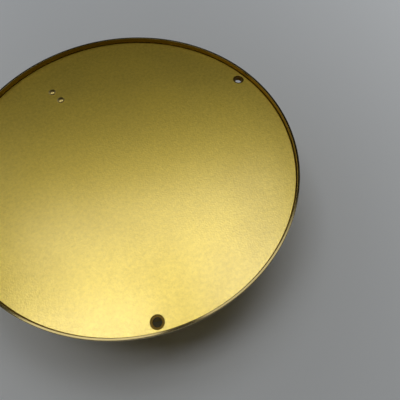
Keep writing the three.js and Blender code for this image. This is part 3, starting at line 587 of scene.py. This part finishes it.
# Inside of the drum and rim: unlacquered brass darkened as painted shade.
RAW_BRASS_PAINTED_SHADE = metal("raw_brass_painted_shade", (0.27, 0.17, 0.014), (0.2, 0.125, 0.01), 0.22, (0.3, 0.002))
POLISHED_BRASS = metal("polished_brass", (0.87, 0.69, 0.27), (0.78, 0.59, 0.19), 0.12,
                       (0.15, 0.0005))
MOVEMENT_BRASS = metal("movement_brass", (0.76, 0.62, 0.33), (0.66, 0.52, 0.25), 0.27,
                       stretch=(1, 0.05, 1))
SPRING_STEEL = metal("spring_steel", (0.50, 0.51, 0.53), (0.36, 0.36, 0.37), 0.28,
                     stretch=(0.05, 1, 1))
SCREW_STEEL = metal("screw_steel", (0.60, 0.61, 0.63), (0.45, 0.45, 0.46), 0.2,
                    grain=(0.2, 0.001))
BLUED_STEEL = metal("blued_steel", (0.045, 0.075, 0.22), (0.05, 0.045, 0.16), 0.16,
                    stretch=(1, 0.04, 1))
NICKEL = metal("nickel", (0.74, 0.72, 0.67), (0.62, 0.60, 0.54), 0.2, grain=(0.3, 0.001))
DIAL_PAINT = coating("dial_paint", (0.88, 0.85, 0.76), (0.84, 0.80, 0.69), 0.42, 0.25, 0.001)
DIAL_INK = coating("dial_ink", (0.018, 0.018, 0.022), (0.03, 0.028, 0.03), 0.38, 0.2, 0.0005)
BLACK_RUBBER = coating("black_rubber", (0.022, 0.022, 0.023), (0.04, 0.04, 0.038), 0.7, 0.3, 0.01)
CLEAR_GLASS = glazing("clear_glass")

SLOT_LOOKS = {
    "satin_brass": SATIN_BRASS, "polished_brass": POLISHED_BRASS,
    "movement_brass": MOVEMENT_BRASS, "spring_steel": SPRING_STEEL,
    "screw_steel": SCREW_STEEL, "blued_steel": BLUED_STEEL, "nickel": NICKEL,
    "dial_paint": DIAL_PAINT, "clear_glass": CLEAR_GLASS, "black_rubber": BLACK_RUBBER,
}


def inside_case(spot):
    """Whether a point of the case's profile is inside the drum or the rim: painted shade there."""
    in_drum = spot.x < DRUM_INNER + EDGE
    beside_plate = FLANGE_BACK - EDGE < spot.y < RIM_BACK - RIM_INNER_EASE + EDGE
    in_rim = beside_plate and spot.x < RIM_INNER + EDGE
    return spot.y > DRUM_FRONT + EDGE / 2 and (in_drum or in_rim)


def make_case():
    """Spun shell: drum, flange with its three fixing holes, and the rim that stands proud of the
    plate. Inside the drum and rim the unlacquered brass is darkened as painted shade; the rim's top
    edge is darkened as painted shade too, and the holes and the flange face under the plate
    darkest."""
    body, raw_shade, cut_shade, hole_shade = range(4)
    looks = (CASE_BRASS, RAW_BRASS_PAINTED_SHADE, EDGE_BRASS_PAINTED_SHADE, PAINTED_SHADE_BRASS)
    profile = eased([
        (DRUM_INNER, DRUM_FRONT),
        (DRUM_OUTER, DRUM_FRONT, DRUM_EASE),
        (DRUM_OUTER, FLANGE_FRONT, FLANGE_COVE),
        (RIM_RADIUS, FLANGE_FRONT, RIM_ROLL),
        (RIM_RADIUS, RIM_BACK, RIM_OUTER_EASE),
        (RIM_INNER, RIM_BACK, RIM_INNER_EASE),
        (RIM_INNER, FLANGE_BACK),
        (DRUM_INNER, FLANGE_BACK),
    ])
    skin = Skin()
    rings = skin.rings(profile, RING_STEPS)
    for i, low in enumerate(rings):
        j = (i + 1) % len(rings)
        here, onward = profile[i][0], profile[j][0]
        if same(here.y, onward.y) and (same(here.y, FLANGE_FRONT) or same(here.y, FLANGE_BACK)):
            continue
        skin.band(low, rings[j])
        # The rim's top edge and the inside of the drum and rim get brass darkened as painted shade.
        if min(here.y, onward.y) > RIM_BACK - RIM_OUTER_EASE:
            skin.paint(cut_shade)
        else:
            skin.paint(raw_shade if inside_case(here) and inside_case(onward) else body)
    walls = []
    for angle in MOUNT_ANGLES:
        wall = hole_wall(FLANGE_HOLE, FLANGE_FRONT, FLANGE_BACK)
        walls.append(skin.rings(wall, SMALL_STEPS, polar(MOUNT_CIRCLE, angle)))
        skin.bands(walls[-1])
    # The holes' walls, and below them the flange face under the plate, get the darkest brass as
    # painted shade.
    skin.paint(hole_shade)
    for level, facing, end, look in ((FLANGE_FRONT, -1, -1, body), (FLANGE_BACK, 1, 0, hole_shade)):
        flat = [ring for ring, (spot, _) in zip(rings, profile) if same(spot.y, level)]
        skin.fill(flat + [wall[end] for wall in walls], facing)
        skin.paint(look)
    skin.finish("case_body", looks, "case", "polished_brass", "case_shell")


def make_back_plate():
    holes = [(*polar(MOUNT_CIRCLE, angle), PLATE_HOLE, SMALL_STEPS) for angle in MOUNT_ANGLES]
    pierced_disc("satin_back_plate", PLATE_LOW, PLATE_HIGH, PLATE_EASE, holes,
                 SATIN_BRASS, "case", "satin_brass", "back_plate")


def make_rivets():
    """The two domed rivets of the clip, in brass darkened as painted shade."""
    seat = PLATE_HIGH.z + SEAT_GAP
    for name in ("rivet_outer", "rivet_inner"):
        node_name = "clip_" + name
        low, high = span(node_name)
        radius = (high.x - low.x) / 2
        turned_bar(name, [
            (0, low.z),
            (RIVET_TAIL, low.z, RIVET_TAIL_EASE),
            (RIVET_TAIL, low.z + RIVET_TAIL_HEIGHT, RIVET_EASE),
            (RIVET_SHANK, low.z + RIVET_TAIL_HEIGHT, RIVET_EASE),
            (RIVET_SHANK, seat, RIVET_EASE),
            (radius, seat, RIVET_SEAT_EASE),
            (radius, high.z, RIVET_DOME, radius * RIVET_DOME_SHARE),
            (0, high.z),
        ], (low + high) / 2, RIVET_BRASS_PAINTED_SHADE, "case", "polished_brass", node_name)


def make_front_rings():
    """Bezel, glass and its gasket, and the ring between the glass and the dial."""
    inner, front, back = BEZEL_INNER, BEZEL_LOW.z, BEZEL_HIGH.z
    outer = BEZEL_HIGH.x
    glass_low, glass_high = span("glass")
    gasket_low, gasket_high = span("glass_gasket")
    rehaut_low, rehaut_high = span("rehaut")
    radius = glass_high.x
    step = back - BEZEL_SKIRT
    seat = gasket_low.z - SEAT_GAP
    turned_ring("bezel_ring", [
        (inner + BEZEL_BEVEL, front, BEZEL_BEVEL_EASE),
        (outer, front, BEZEL_CROWN_WIDTH, BEZEL_CROWN),
        (outer, back, BEZEL_EASE),
        (outer - BEZEL_WALL, back, BEZEL_WALL_EASE),
        (outer - BEZEL_WALL, step, BEZEL_WALL_EASE),
        (radius + GLASS_PLAY, step, BEZEL_STEP_EASE),
        (radius + GLASS_PLAY, seat, BEZEL_SEAT_EASE),
        (inner, seat, BEZEL_LIP_EASE),
        (inner, seat - BEZEL_LIP, BEZEL_LIP_EASE),
    ], RING_STEPS, POLISHED_BRASS, "case", "polished_brass", "bezel")
    turned_ring("gasket_ring", [
        (radius - GASKET_WIDTH, gasket_low.z, GASKET_EASE),
        (radius, gasket_low.z, GASKET_EASE),
        (radius, gasket_high.z, GASKET_EASE),
        (radius - GASKET_WIDTH, gasket_high.z, GASKET_EASE),
    ], RING_STEPS, BLACK_RUBBER, "case", "black_rubber", "glass_gasket")
    turned_ring("glass_disc", [
        (GLASS_HOLE, glass_low.z, GLASS_HOLE_EASE),
        (radius, glass_low.z, GLASS_EASE),
        (radius, glass_high.z, GLASS_EASE),
        (GLASS_HOLE, glass_high.z, GLASS_HOLE_EASE),
    ], RING_STEPS, CLEAR_GLASS, "case", "clear_glass", "glass")
    turned_ring("rehaut_ring", [
        (radius - REHAUT_TOP, rehaut_low.z, REHAUT_EASE),
        (radius, rehaut_low.z, REHAUT_EASE),
        (radius, rehaut_high.z, REHAUT_EASE),
        (radius - REHAUT_FOOT, rehaut_high.z, REHAUT_FOOT_EASE),
    ], RING_STEPS, POLISHED_BRASS, "case", "polished_brass", "rehaut")


def make_dial():
    """Dial with its open centre, the hole over the calibration screw and three screw holes."""
    holes = [(0, 0, DIAL_WINDOW, WINDOW_STEPS), (-DIAL_CIRCLE, 0, DIAL_ACCESS, SMALL_STEPS)]
    for angle in DIAL_SCREW_ANGLES:
        holes.append((*polar(DIAL_CIRCLE, angle), DIAL_SCREW_HOLE, SMALL_STEPS))
    pierced_disc("dial_disc", *span("dial"), EDGE, holes, DIAL_PAINT, "case", "dial_paint", "dial")


def dial_point(radius, degrees, right=0.0, up=0.0):
    """Place on the dial at an angle clockwise from 12 o'clock, moved right and up as one reads
    there."""
    turn = math.radians(degrees)
    out = Vector((math.sin(turn), -math.cos(turn)))
    across = Vector((math.cos(turn), math.sin(turn)))
    return out * (radius + up) + across * right


class Print:
    """Thin closed pieces of ink on the dial's face."""

    def __init__(self):
        self.flat = bmesh.new()
        self.level = span("dial")[0].z

    def outline(self, spots):
        """A filled shape; the spots run clockwise as one reads the dial."""
        front, back = self.level - INK_THICKNESS, self.level + INK_THICKNESS / 2
        lower = [self.flat.verts.new((spot[0], spot[1], front)) for spot in spots]
        upper = [self.flat.verts.new((spot[0], spot[1], back)) for spot in spots]
        self.flat.faces.new(lower)
        self.flat.faces.new(upper[::-1])
        for i in range(len(spots)):
            j = (i + 1) % len(spots)
            self.flat.faces.new((lower[j], lower[i], upper[i], upper[j]))

    def tick(self, degrees, ring, count, rows):
        """A tick out from the ring, of the first row whose step divides the count."""
        length, width = next(row[1:] for row in rows if count % row[0] == 0)
        half = width / 2
        corners = ((ring, -half), (ring + length, -half), (ring + length, half), (ring, half))
        self.outline([dial_point(radius, degrees, right) for radius, right in corners])

    def arc(self, radius, width, start, end):
        """A line round the dial from one angle to another, in short pieces."""
        steps = round((end - start) / LINE_DEGREES)
        inner, outer = radius - width / 2, radius + width / 2
        for i in range(steps):
            here = start + (end - start) * i / steps
            onward = start + (end - start) * (i + 1) / steps
            corners = ((inner, here), (outer, here), (outer, onward), (inner, onward))
            self.outline([dial_point(*corner) for corner in corners])

    def figures(self, words, degrees, ring, inset, height):
        """Figures inside the ring that stand upright towards the rim."""
        data = bpy.data.curves.new(words, "FONT")
        data.body = words
        data.align_x, data.align_y = "CENTER", "CENTER"
        data.size = height / FONT_CAP
        data.extrude = INK_THICKNESS * 3 / 4
        data.resolution_u = FONT_STEPS
        drawn = new_object(words, data)
        shape = evaluated_mesh(drawn)
        middle = self.level - INK_THICKNESS / 4
        for vertex in shape.vertices:
            spot = dial_point(ring - inset, degrees, vertex.co.x, vertex.co.y)
            vertex.co = (spot.x, spot.y, middle - vertex.co.z)
        self.flat.from_mesh(shape)
        bpy.data.objects.remove(drawn)
        bpy.data.meshes.remove(shape)
        bpy.data.curves.remove(data)

    def finish(self, name):
        bmesh.ops.remove_doubles(self.flat, verts=self.flat.verts, dist=JOIN_PRINT)
        bmesh.ops.scale(self.flat, vec=(MM, MM, MM), verts=self.flat.verts)
        bmesh.ops.recalc_face_normals(self.flat, faces=self.flat.faces)
        mesh = bpy.data.meshes.new(name)
        self.flat.to_mesh(mesh)
        self.flat.free()
        placed(mesh, name, DIAL_INK, "case", "dial_paint")


def make_dial_print():
    """Outer scale in inches of mercury, a hundredth a degree, and inner scale in hectopascals."""
    inches = Print()
    for hundredth in range(INCH_LOW * 100, INCH_HIGH * 100 + 1):
        angle = (hundredth / 100 - INCH_MIDDLE) * DEGREES_PER_INCH
        inches.tick(angle, INCH_RING, hundredth, INCH_TICKS)
        if hundredth % 100 == 0:
            inches.figures(str(hundredth // 100), angle, INCH_RING, *INCH_FIGURE)
        elif hundredth % 10 == 0:
            inches.figures(str(hundredth // 10 % 10), angle, INCH_RING, *TENTH_FIGURE)
    limit = (INCH_HIGH - INCH_MIDDLE) * DEGREES_PER_INCH
    inches.arc(INCH_RING, INCH_LINE, -limit, limit)
    inches.finish("inch_scale")
    pascals = Print()
    for pressure in range(HPA_LOW, HPA_HIGH + 1):
        angle = (pressure / HPA_PER_INCH - INCH_MIDDLE) * DEGREES_PER_INCH
        pascals.tick(angle, HPA_RING, pressure, HPA_TICKS)
        if pressure % 10 == 0:
            pascals.figures(str(pressure), angle, HPA_RING, *HPA_FIGURE)
    pascals.arc(HPA_RING, HPA_LINE, -limit, limit)
    pascals.arc(DIAL_WINDOW + WINDOW_MARGIN, WINDOW_LINE, -180, 180)
    pascals.finish("hectopascal_scale")


def flat_piece(name, outlines, front, back, ease, material, body, slot, *replaced):
    """Sheet piece with rounded edges; the outlines are its outside and its holes."""
    data = bpy.data.curves.new(name, "CURVE")
    data.dimensions = "2D"
    data.fill_mode = "BOTH"
    data.bevel_depth = ease
    data.bevel_resolution = BEVEL_STEPS
    data.offset = -ease
    data.extrude = (back - front) / 2 - ease
    for outline in outlines:
        spline = data.splines.new("POLY")
        spline.points.add(len(outline) - 1)
        for point, (x, y) in zip(spline.points, outline):
            point.co = (x, y, 0, 1)
        spline.use_cyclic_u = True
    drawn = new_object(name, data)
    mesh = evaluated_mesh(drawn)
    bpy.data.objects.remove(drawn)
    bpy.data.curves.remove(data)
    solid = bmesh.new()
    solid.from_mesh(mesh)
    bmesh.ops.remove_doubles(solid, verts=solid.verts, dist=JOIN_SHEET)
    for vertex in solid.verts:
        vertex.co.z += (front + back) / 2
    bmesh.ops.scale(solid, vec=(MM, MM, MM), verts=solid.verts)
    bmesh.ops.recalc_face_normals(solid, faces=solid.faces)
    solid.to_mesh(mesh)
    solid.free()
    mesh.materials.clear()
    mesh.polygons.foreach_set("use_smooth", [True] * len(mesh.polygons))
    mesh.set_sharp_from_angle(angle=math.radians(SHARP_SHEET))
    return placed(mesh, name, material, body, slot, *replaced)


def circle(radius):
    turns = [TAU * i / SMALL_STEPS for i in range(SMALL_STEPS)]
    return [(radius * math.cos(turn), radius * math.sin(turn)) for turn in turns]


def make_hand(name, node_name, sizes, material, body, slot):
    """Slim pointer with a round eye, towards 12 o'clock, and a short tail that widens."""
    reach, tail, eye, tip, root, hole = sizes
    low, high = span(node_name)
    start = eye * EYE_NECK
    side = [(tip / 2, -reach + tip), (root / 2, -start)]
    meet = math.atan2(-start, math.sqrt(eye * eye - start * start))
    for i in range(1, EYE_STEPS):
        angle = meet - 2 * meet * i / EYE_STEPS
        side.append((eye * math.cos(angle), eye * math.sin(angle)))
    side += [(root / 2, start), (root, tail)]
    outlines = [[(0, -reach)] + side + [(-x, y) for x, y in side[::-1]], circle(hole)]
    flat_piece(name, outlines, low.z, high.z, HAND_EASE, material, body, slot, node_name)


def make_hands():
    """Set hand and its washer on the knob's spindle, and the indicator with its boss."""
    make_hand("set_pointer_hand", "set_hand", SET_HAND,
              POLISHED_BRASS, "set_pointer", "polished_brass")
    make_hand("blued_hand", "indicator_hand", INDICATOR_HAND,
              BLUED_STEEL, "indicator", "blued_steel")
    low, high = span("hand_boss")
    turned_ring("boss_collar", [
        (BOSS_BORE, low.z, BOSS_EASE),
        (high.x, low.z, BOSS_FACE_EASE),
        (high.x, low.z + BOSS_STEP, BOSS_STEP_EASE),
        (BOSS_NECK, low.z + BOSS_STEP, BOSS_NECK_EASE),
        (BOSS_NECK, high.z, BOSS_EASE),
        (BOSS_BORE, high.z, BOSS_EASE),
    ], SMALL_STEPS, POLISHED_BRASS, "indicator", "polished_brass", "hand_boss")
    low, high = span("set_washer")
    turned_ring("friction_washer", [
        (WASHER_BORE, low.z, WASHER_BORE_EASE),
        (high.x, low.z, WASHER_EASE),
        (high.x, high.z, WASHER_EASE),
        (WASHER_BORE, high.z, WASHER_BORE_EASE),
    ], SMALL_STEPS, SPRING_STEEL, "set_pointer", "spring_steel", "set_washer")


def make_knob():
    """Knob with round grooves about its side, and its spindle."""
    low, high = span("set_knob")
    back = low.z + KNOB_HEIGHT
    profile = eased([
        (0, low.z),
        (KNOB_RADIUS, low.z, KNOB_FACE_EASE),
        (KNOB_RADIUS, back, KNOB_BACK_EASE),
        (SPINDLE_RADIUS, back, SPINDLE_ROOT_EASE),
        (SPINDLE_RADIUS, high.z, SPINDLE_EASE),
        (0, high.z),
    ], closed=False)
    skin = Skin()
    rings = skin.rings(profile, KNOB_GROOVES * GROOVE_STEPS)
    for ring in rings:
        for k, i in enumerate(ring):
            x, y, z = skin.points[i]
            outward = (math.hypot(x, y) - SPINDLE_RADIUS) / (KNOB_RADIUS - SPINDLE_RADIUS)
            depth = max(0.0, outward) ** KNOB_FADE * KNOB_GROOVE / KNOB_RADIUS
            turn = TAU * k / GROOVE_STEPS
            scale = 1 - depth * (0.5 - 0.5 * math.cos(turn)) ** KNOB_WAVE
            skin.points[i] = (x * scale, y * scale, z)
            tilt = depth * KNOB_GROOVES * 0.5 * math.sin(turn)
            nx, ny, nz = skin.normals[i]
            skin.normals[i] = Vector((nx - ny * tilt, ny + nx * tilt, nz)).normalized()
    skin.bands(rings)
    skin.finish("set_knob_grip", POLISHED_BRASS, "set_pointer", "polished_brass", "set_knob")


def make_dial_screws():
    """Cheese-head screws whose slots face the glass."""
    under = span("dial")[0].z - SEAT_GAP
    for i, angle in enumerate(DIAL_SCREW_ANGLES, 1):
        low, high = span(f"dial_screw_{i}")
        x, y = polar(DIAL_CIRCLE, angle)
        head = (high.x - low.x) / 2
        piece = turned_bar(f"dial_screw_head_{i}", [
            (0, low.z),
            (head, low.z, SCREW_HEAD_EASE),
            (head, under, SCREW_NECK_EASE),
            (SCREW_RADIUS, under, SCREW_NECK_EASE),
            (SCREW_RADIUS, high.z, SCREW_END_EASE),
            (0, high.z),
        ], (x, y), POLISHED_BRASS, "case", "polished_brass", f"dial_screw_{i}")
        cut_slot(piece, (x, y, low.z), head, SLOT_START + SLOT_TURN * i)


def cut_slot(piece, middle, head, degrees):
    """Cuts a screwdriver's slot into a head that faces the front."""
    cutter_mesh = bpy.data.meshes.new("cutter")
    tool = bmesh.new()
    bmesh.ops.create_cube(tool, size=1)
    turn = Matrix.Rotation(math.radians(degrees), 4, "Z")
    size = Matrix.Diagonal((3 * head * MM, SLOT_WIDTH * MM, 2 * SLOT_DEPTH * MM, 1))
    tool.transform(Matrix.Translation(Vector(middle) * MM) @ turn @ size)
    tool.to_mesh(cutter_mesh)
    tool.free()
    cutter = new_object("cutter", cutter_mesh)
    slot = piece.modifiers.new("slot", "BOOLEAN")
    slot.operation = "DIFFERENCE"
    slot.solver = "EXACT"
    slot.object = cutter
    carved = evaluated_mesh(piece)
    piece.modifiers.clear()
    carved.set_sharp_from_angle(angle=math.radians(SHARP_SHEET))
    piece.data = carved
    bpy.data.objects.remove(cutter)
    bpy.data.meshes.remove(cutter_mesh)


def smooth_by_angle():
    """Geometry nodes that join a CAD node's loose triangles and smooth all but its sharp edges."""
    group = bpy.data.node_groups.new("smooth_by_angle", "GeometryNodeTree")
    for way in ("INPUT", "OUTPUT"):
        group.interface.new_socket("Geometry", in_out=way, socket_type="NodeSocketGeometry")
    start, end = group.nodes.new("NodeGroupInput"), group.nodes.new("NodeGroupOutput")
    joined = group.nodes.new("GeometryNodeMergeByDistance")
    joined.inputs["Distance"].default_value = JOIN_NODE
    bend = group.nodes.new("GeometryNodeInputMeshEdgeAngle")
    gentle = group.nodes.new("FunctionNodeCompare")
    gentle.operation = "LESS_THAN"
    gentle.inputs["B"].default_value = math.radians(SHARP_NODE)
    faces = group.nodes.new("GeometryNodeSetShadeSmooth")
    edges = group.nodes.new("GeometryNodeSetShadeSmooth")
    faces.domain, edges.domain = "FACE", "EDGE"
    link = group.links.new
    link(start.outputs[0], joined.inputs["Geometry"])
    link(joined.outputs["Geometry"], faces.inputs["Geometry"])
    link(faces.outputs["Geometry"], edges.inputs["Geometry"])
    link(bend.outputs["Unsigned Angle"], gentle.inputs["A"])
    link(gentle.outputs["Result"], edges.inputs["Shade Smooth"])
    link(edges.outputs["Geometry"], end.inputs[0])
    return group


def dress_movement():
    """Looks and smooth curves for the CAD nodes that stay."""
    slots = {part["node"]: part["material_slot"] for part in frame["record"]["subparts"]}
    group = smooth_by_angle()
    for name, held in frame["nodes"].items():
        held.data.materials.clear()
        held.data.materials.append(SLOT_LOOKS[slots[name]])
        held.modifiers.new("smooth", "NODES").node_group = group


def aim_camera():
    """Puts the camera where the photograph's rim ellipse says that it stood."""
    across = (Vector((1, 0, 0)) - BACK_NORMAL * BACK_NORMAL.x).normalized()
    up = BACK_NORMAL.cross(across)
    seen = Matrix((across, up, BACK_NORMAL))  # from the picture's axes to the disc's
    turn = Matrix.Rotation(math.radians(DIAL_TURN), 3, "Z")
    right, down, ahead = (turn @ seen.col[i] for i in range(3))
    place = turn @ (seen @ -RIM_CENTRE) * RIM_RADIUS + Vector((0, 0, RIM_BACK))
    facing = Matrix((right, -down, -ahead)).transposed().to_4x4()
    data = bpy.data.cameras.new("camera")
    data.sensor_width = SENSOR_WIDTH
    data.lens = FOCAL_PIXELS * SENSOR_WIDTH / PHOTO_WIDTH
    data.clip_start = CLIP_START
    camera = new_object("camera", data)
    camera.matrix_world = Matrix.Translation(place * MM) @ facing
    bpy.context.scene.camera = camera


def looking_ray(tree):
    """1 for a ray of the camera's, also one that a metal or a glass turns, and 0 once paint has
    spread it."""
    rays = node(tree, "LightPath").outputs
    bent = reckoned(tree, "MAXIMUM", rays["Is Glossy Ray"], rays["Is Transmission Ray"])
    seen = reckoned(tree, "MAXIMUM", rays["Is Camera Ray"], bent)
    return reckoned(tree, "SUBTRACT", seen, rays["Diffuse Depth"], use_clamp=True)


def backdrop(tree, way):
    """Colour of the backdrop in a direction: paler to both sides of the dial's 12 o'clock line."""
    straight = node(tree, "VectorMath", {0: way}, operation="NORMALIZE").outputs[0]
    right = node(tree, "SeparateXYZ", {0: straight}).outputs[0]
    aside = reckoned(tree, "MULTIPLY", right, right)
    return mixed(tree, ranged(tree, aside, 0, 1, *BACKDROP_SIDES), BACKDROP_DIM, BACKDROP_PALE)


def make_floor():
    """Plain pale floor, which the camera sees fade into the backdrop."""
    material, tree = blank_material("floor")
    place = object_place(tree)
    tone = mixed(tree, noise(tree, place, FLOOR_CLOUD, detail=3), FLOOR_COLOUR, FLOOR_SECOND)
    inputs = {"Base Color": tone, "Roughness": FLOOR_ROUGHNESS}
    matt = node(tree, "BsdfPrincipled", {**inputs, "Specular IOR Level": FLOOR_SPECULAR})
    glow = node(tree, "Emission", {"Color": backdrop(tree, place), "Strength": 1.0})
    away = node(tree, "VectorMath", {0: place}, operation="LENGTH").outputs["Value"]
    fade = ranged(tree, away, 0.0, 1.0, *FLOOR_FADE)
    share = reckoned(tree, "MULTIPLY", fade, looking_ray(tree))
    shaders = {0: share, 1: matt.outputs[0], 2: glow.outputs[0]}
    close_material(tree, node(tree, "MixShader", shaders))
    mesh = bpy.data.meshes.new("floor")
    corners = [(FLOOR_HALF * x, FLOOR_HALF * y, 0) for x, y in ((-1, -1), (1, -1), (1, 1), (-1, 1))]
    mesh.from_pydata(corners, [], [(0, 1, 2, 3)])
    mesh.materials.append(material)
    floor = new_object("floor", mesh)


def softbox(name, centre, size, radiance, aim):
    """Rectangular lamp, in metres, whose face has the given radiance and looks at the aim."""
    data = bpy.data.lights.new(name, "AREA")
    data.shape = "RECTANGLE"
    data.size, data.size_y = size
    data.energy = radiance * math.pi * size[0] * size[1]
    lamp = new_object(name, data)
    lamp.location = centre
    lamp.rotation_euler = (Vector(aim) - Vector(centre)).to_track_quat("-Z", "Y").to_euler()


def light_scene():
    """Three softboxes overhead and a weak one at the side, in a room that is pale at the horizon
    and dim above it."""
    for name, row in SOFTBOXES.items():
        softbox(name, *row)
    world = bpy.data.worlds.new("room")
    world.use_nodes = True
    tree = world.node_tree
    tree.nodes.clear()
    way = node(tree, "TexCoord").outputs["Generated"]
    apart = node(tree, "SeparateXYZ", {0: way}).outputs
    pale = backdrop(tree, way)
    low = mixed(tree, looking_ray(tree), LOW_LIGHT, pale)
    top = ranged(tree, apart[2], 0, 1, *ROOM_TOP_RANGE)
    high = mixed(tree, top, ROOM_DARK, ROOM_TOP)
    ahead = reckoned(tree, "MAXIMUM", apart[1], 0.0)
    ahead = reckoned(tree, "POWER", ahead, FAR_SIDE_POWER)
    height = reckoned(tree, "MULTIPLY_ADD", ahead, FAR_SIDE_SINK, apart[2])
    room = mixed(tree, ranged(tree, height, 0, 1, *BACKDROP_FALL), low, high)
    seen = mixed(tree, node(tree, "LightPath").outputs["Is Camera Ray"], room, pale)
    shade = node(tree, "Background", {"Color": seen, "Strength": 1.0})
    node(tree, "OutputWorld", {"Surface": shade.outputs[0]})
    bpy.context.scene.world = world


make_case()
make_back_plate()
make_rivets()
make_front_rings()
make_dial()
make_dial_print()
make_hands()
make_knob()
make_dial_screws()
dress_movement()
aim_camera()
make_floor()
light_scene()
bpy.context.scene.view_settings.view_transform = "Standard"
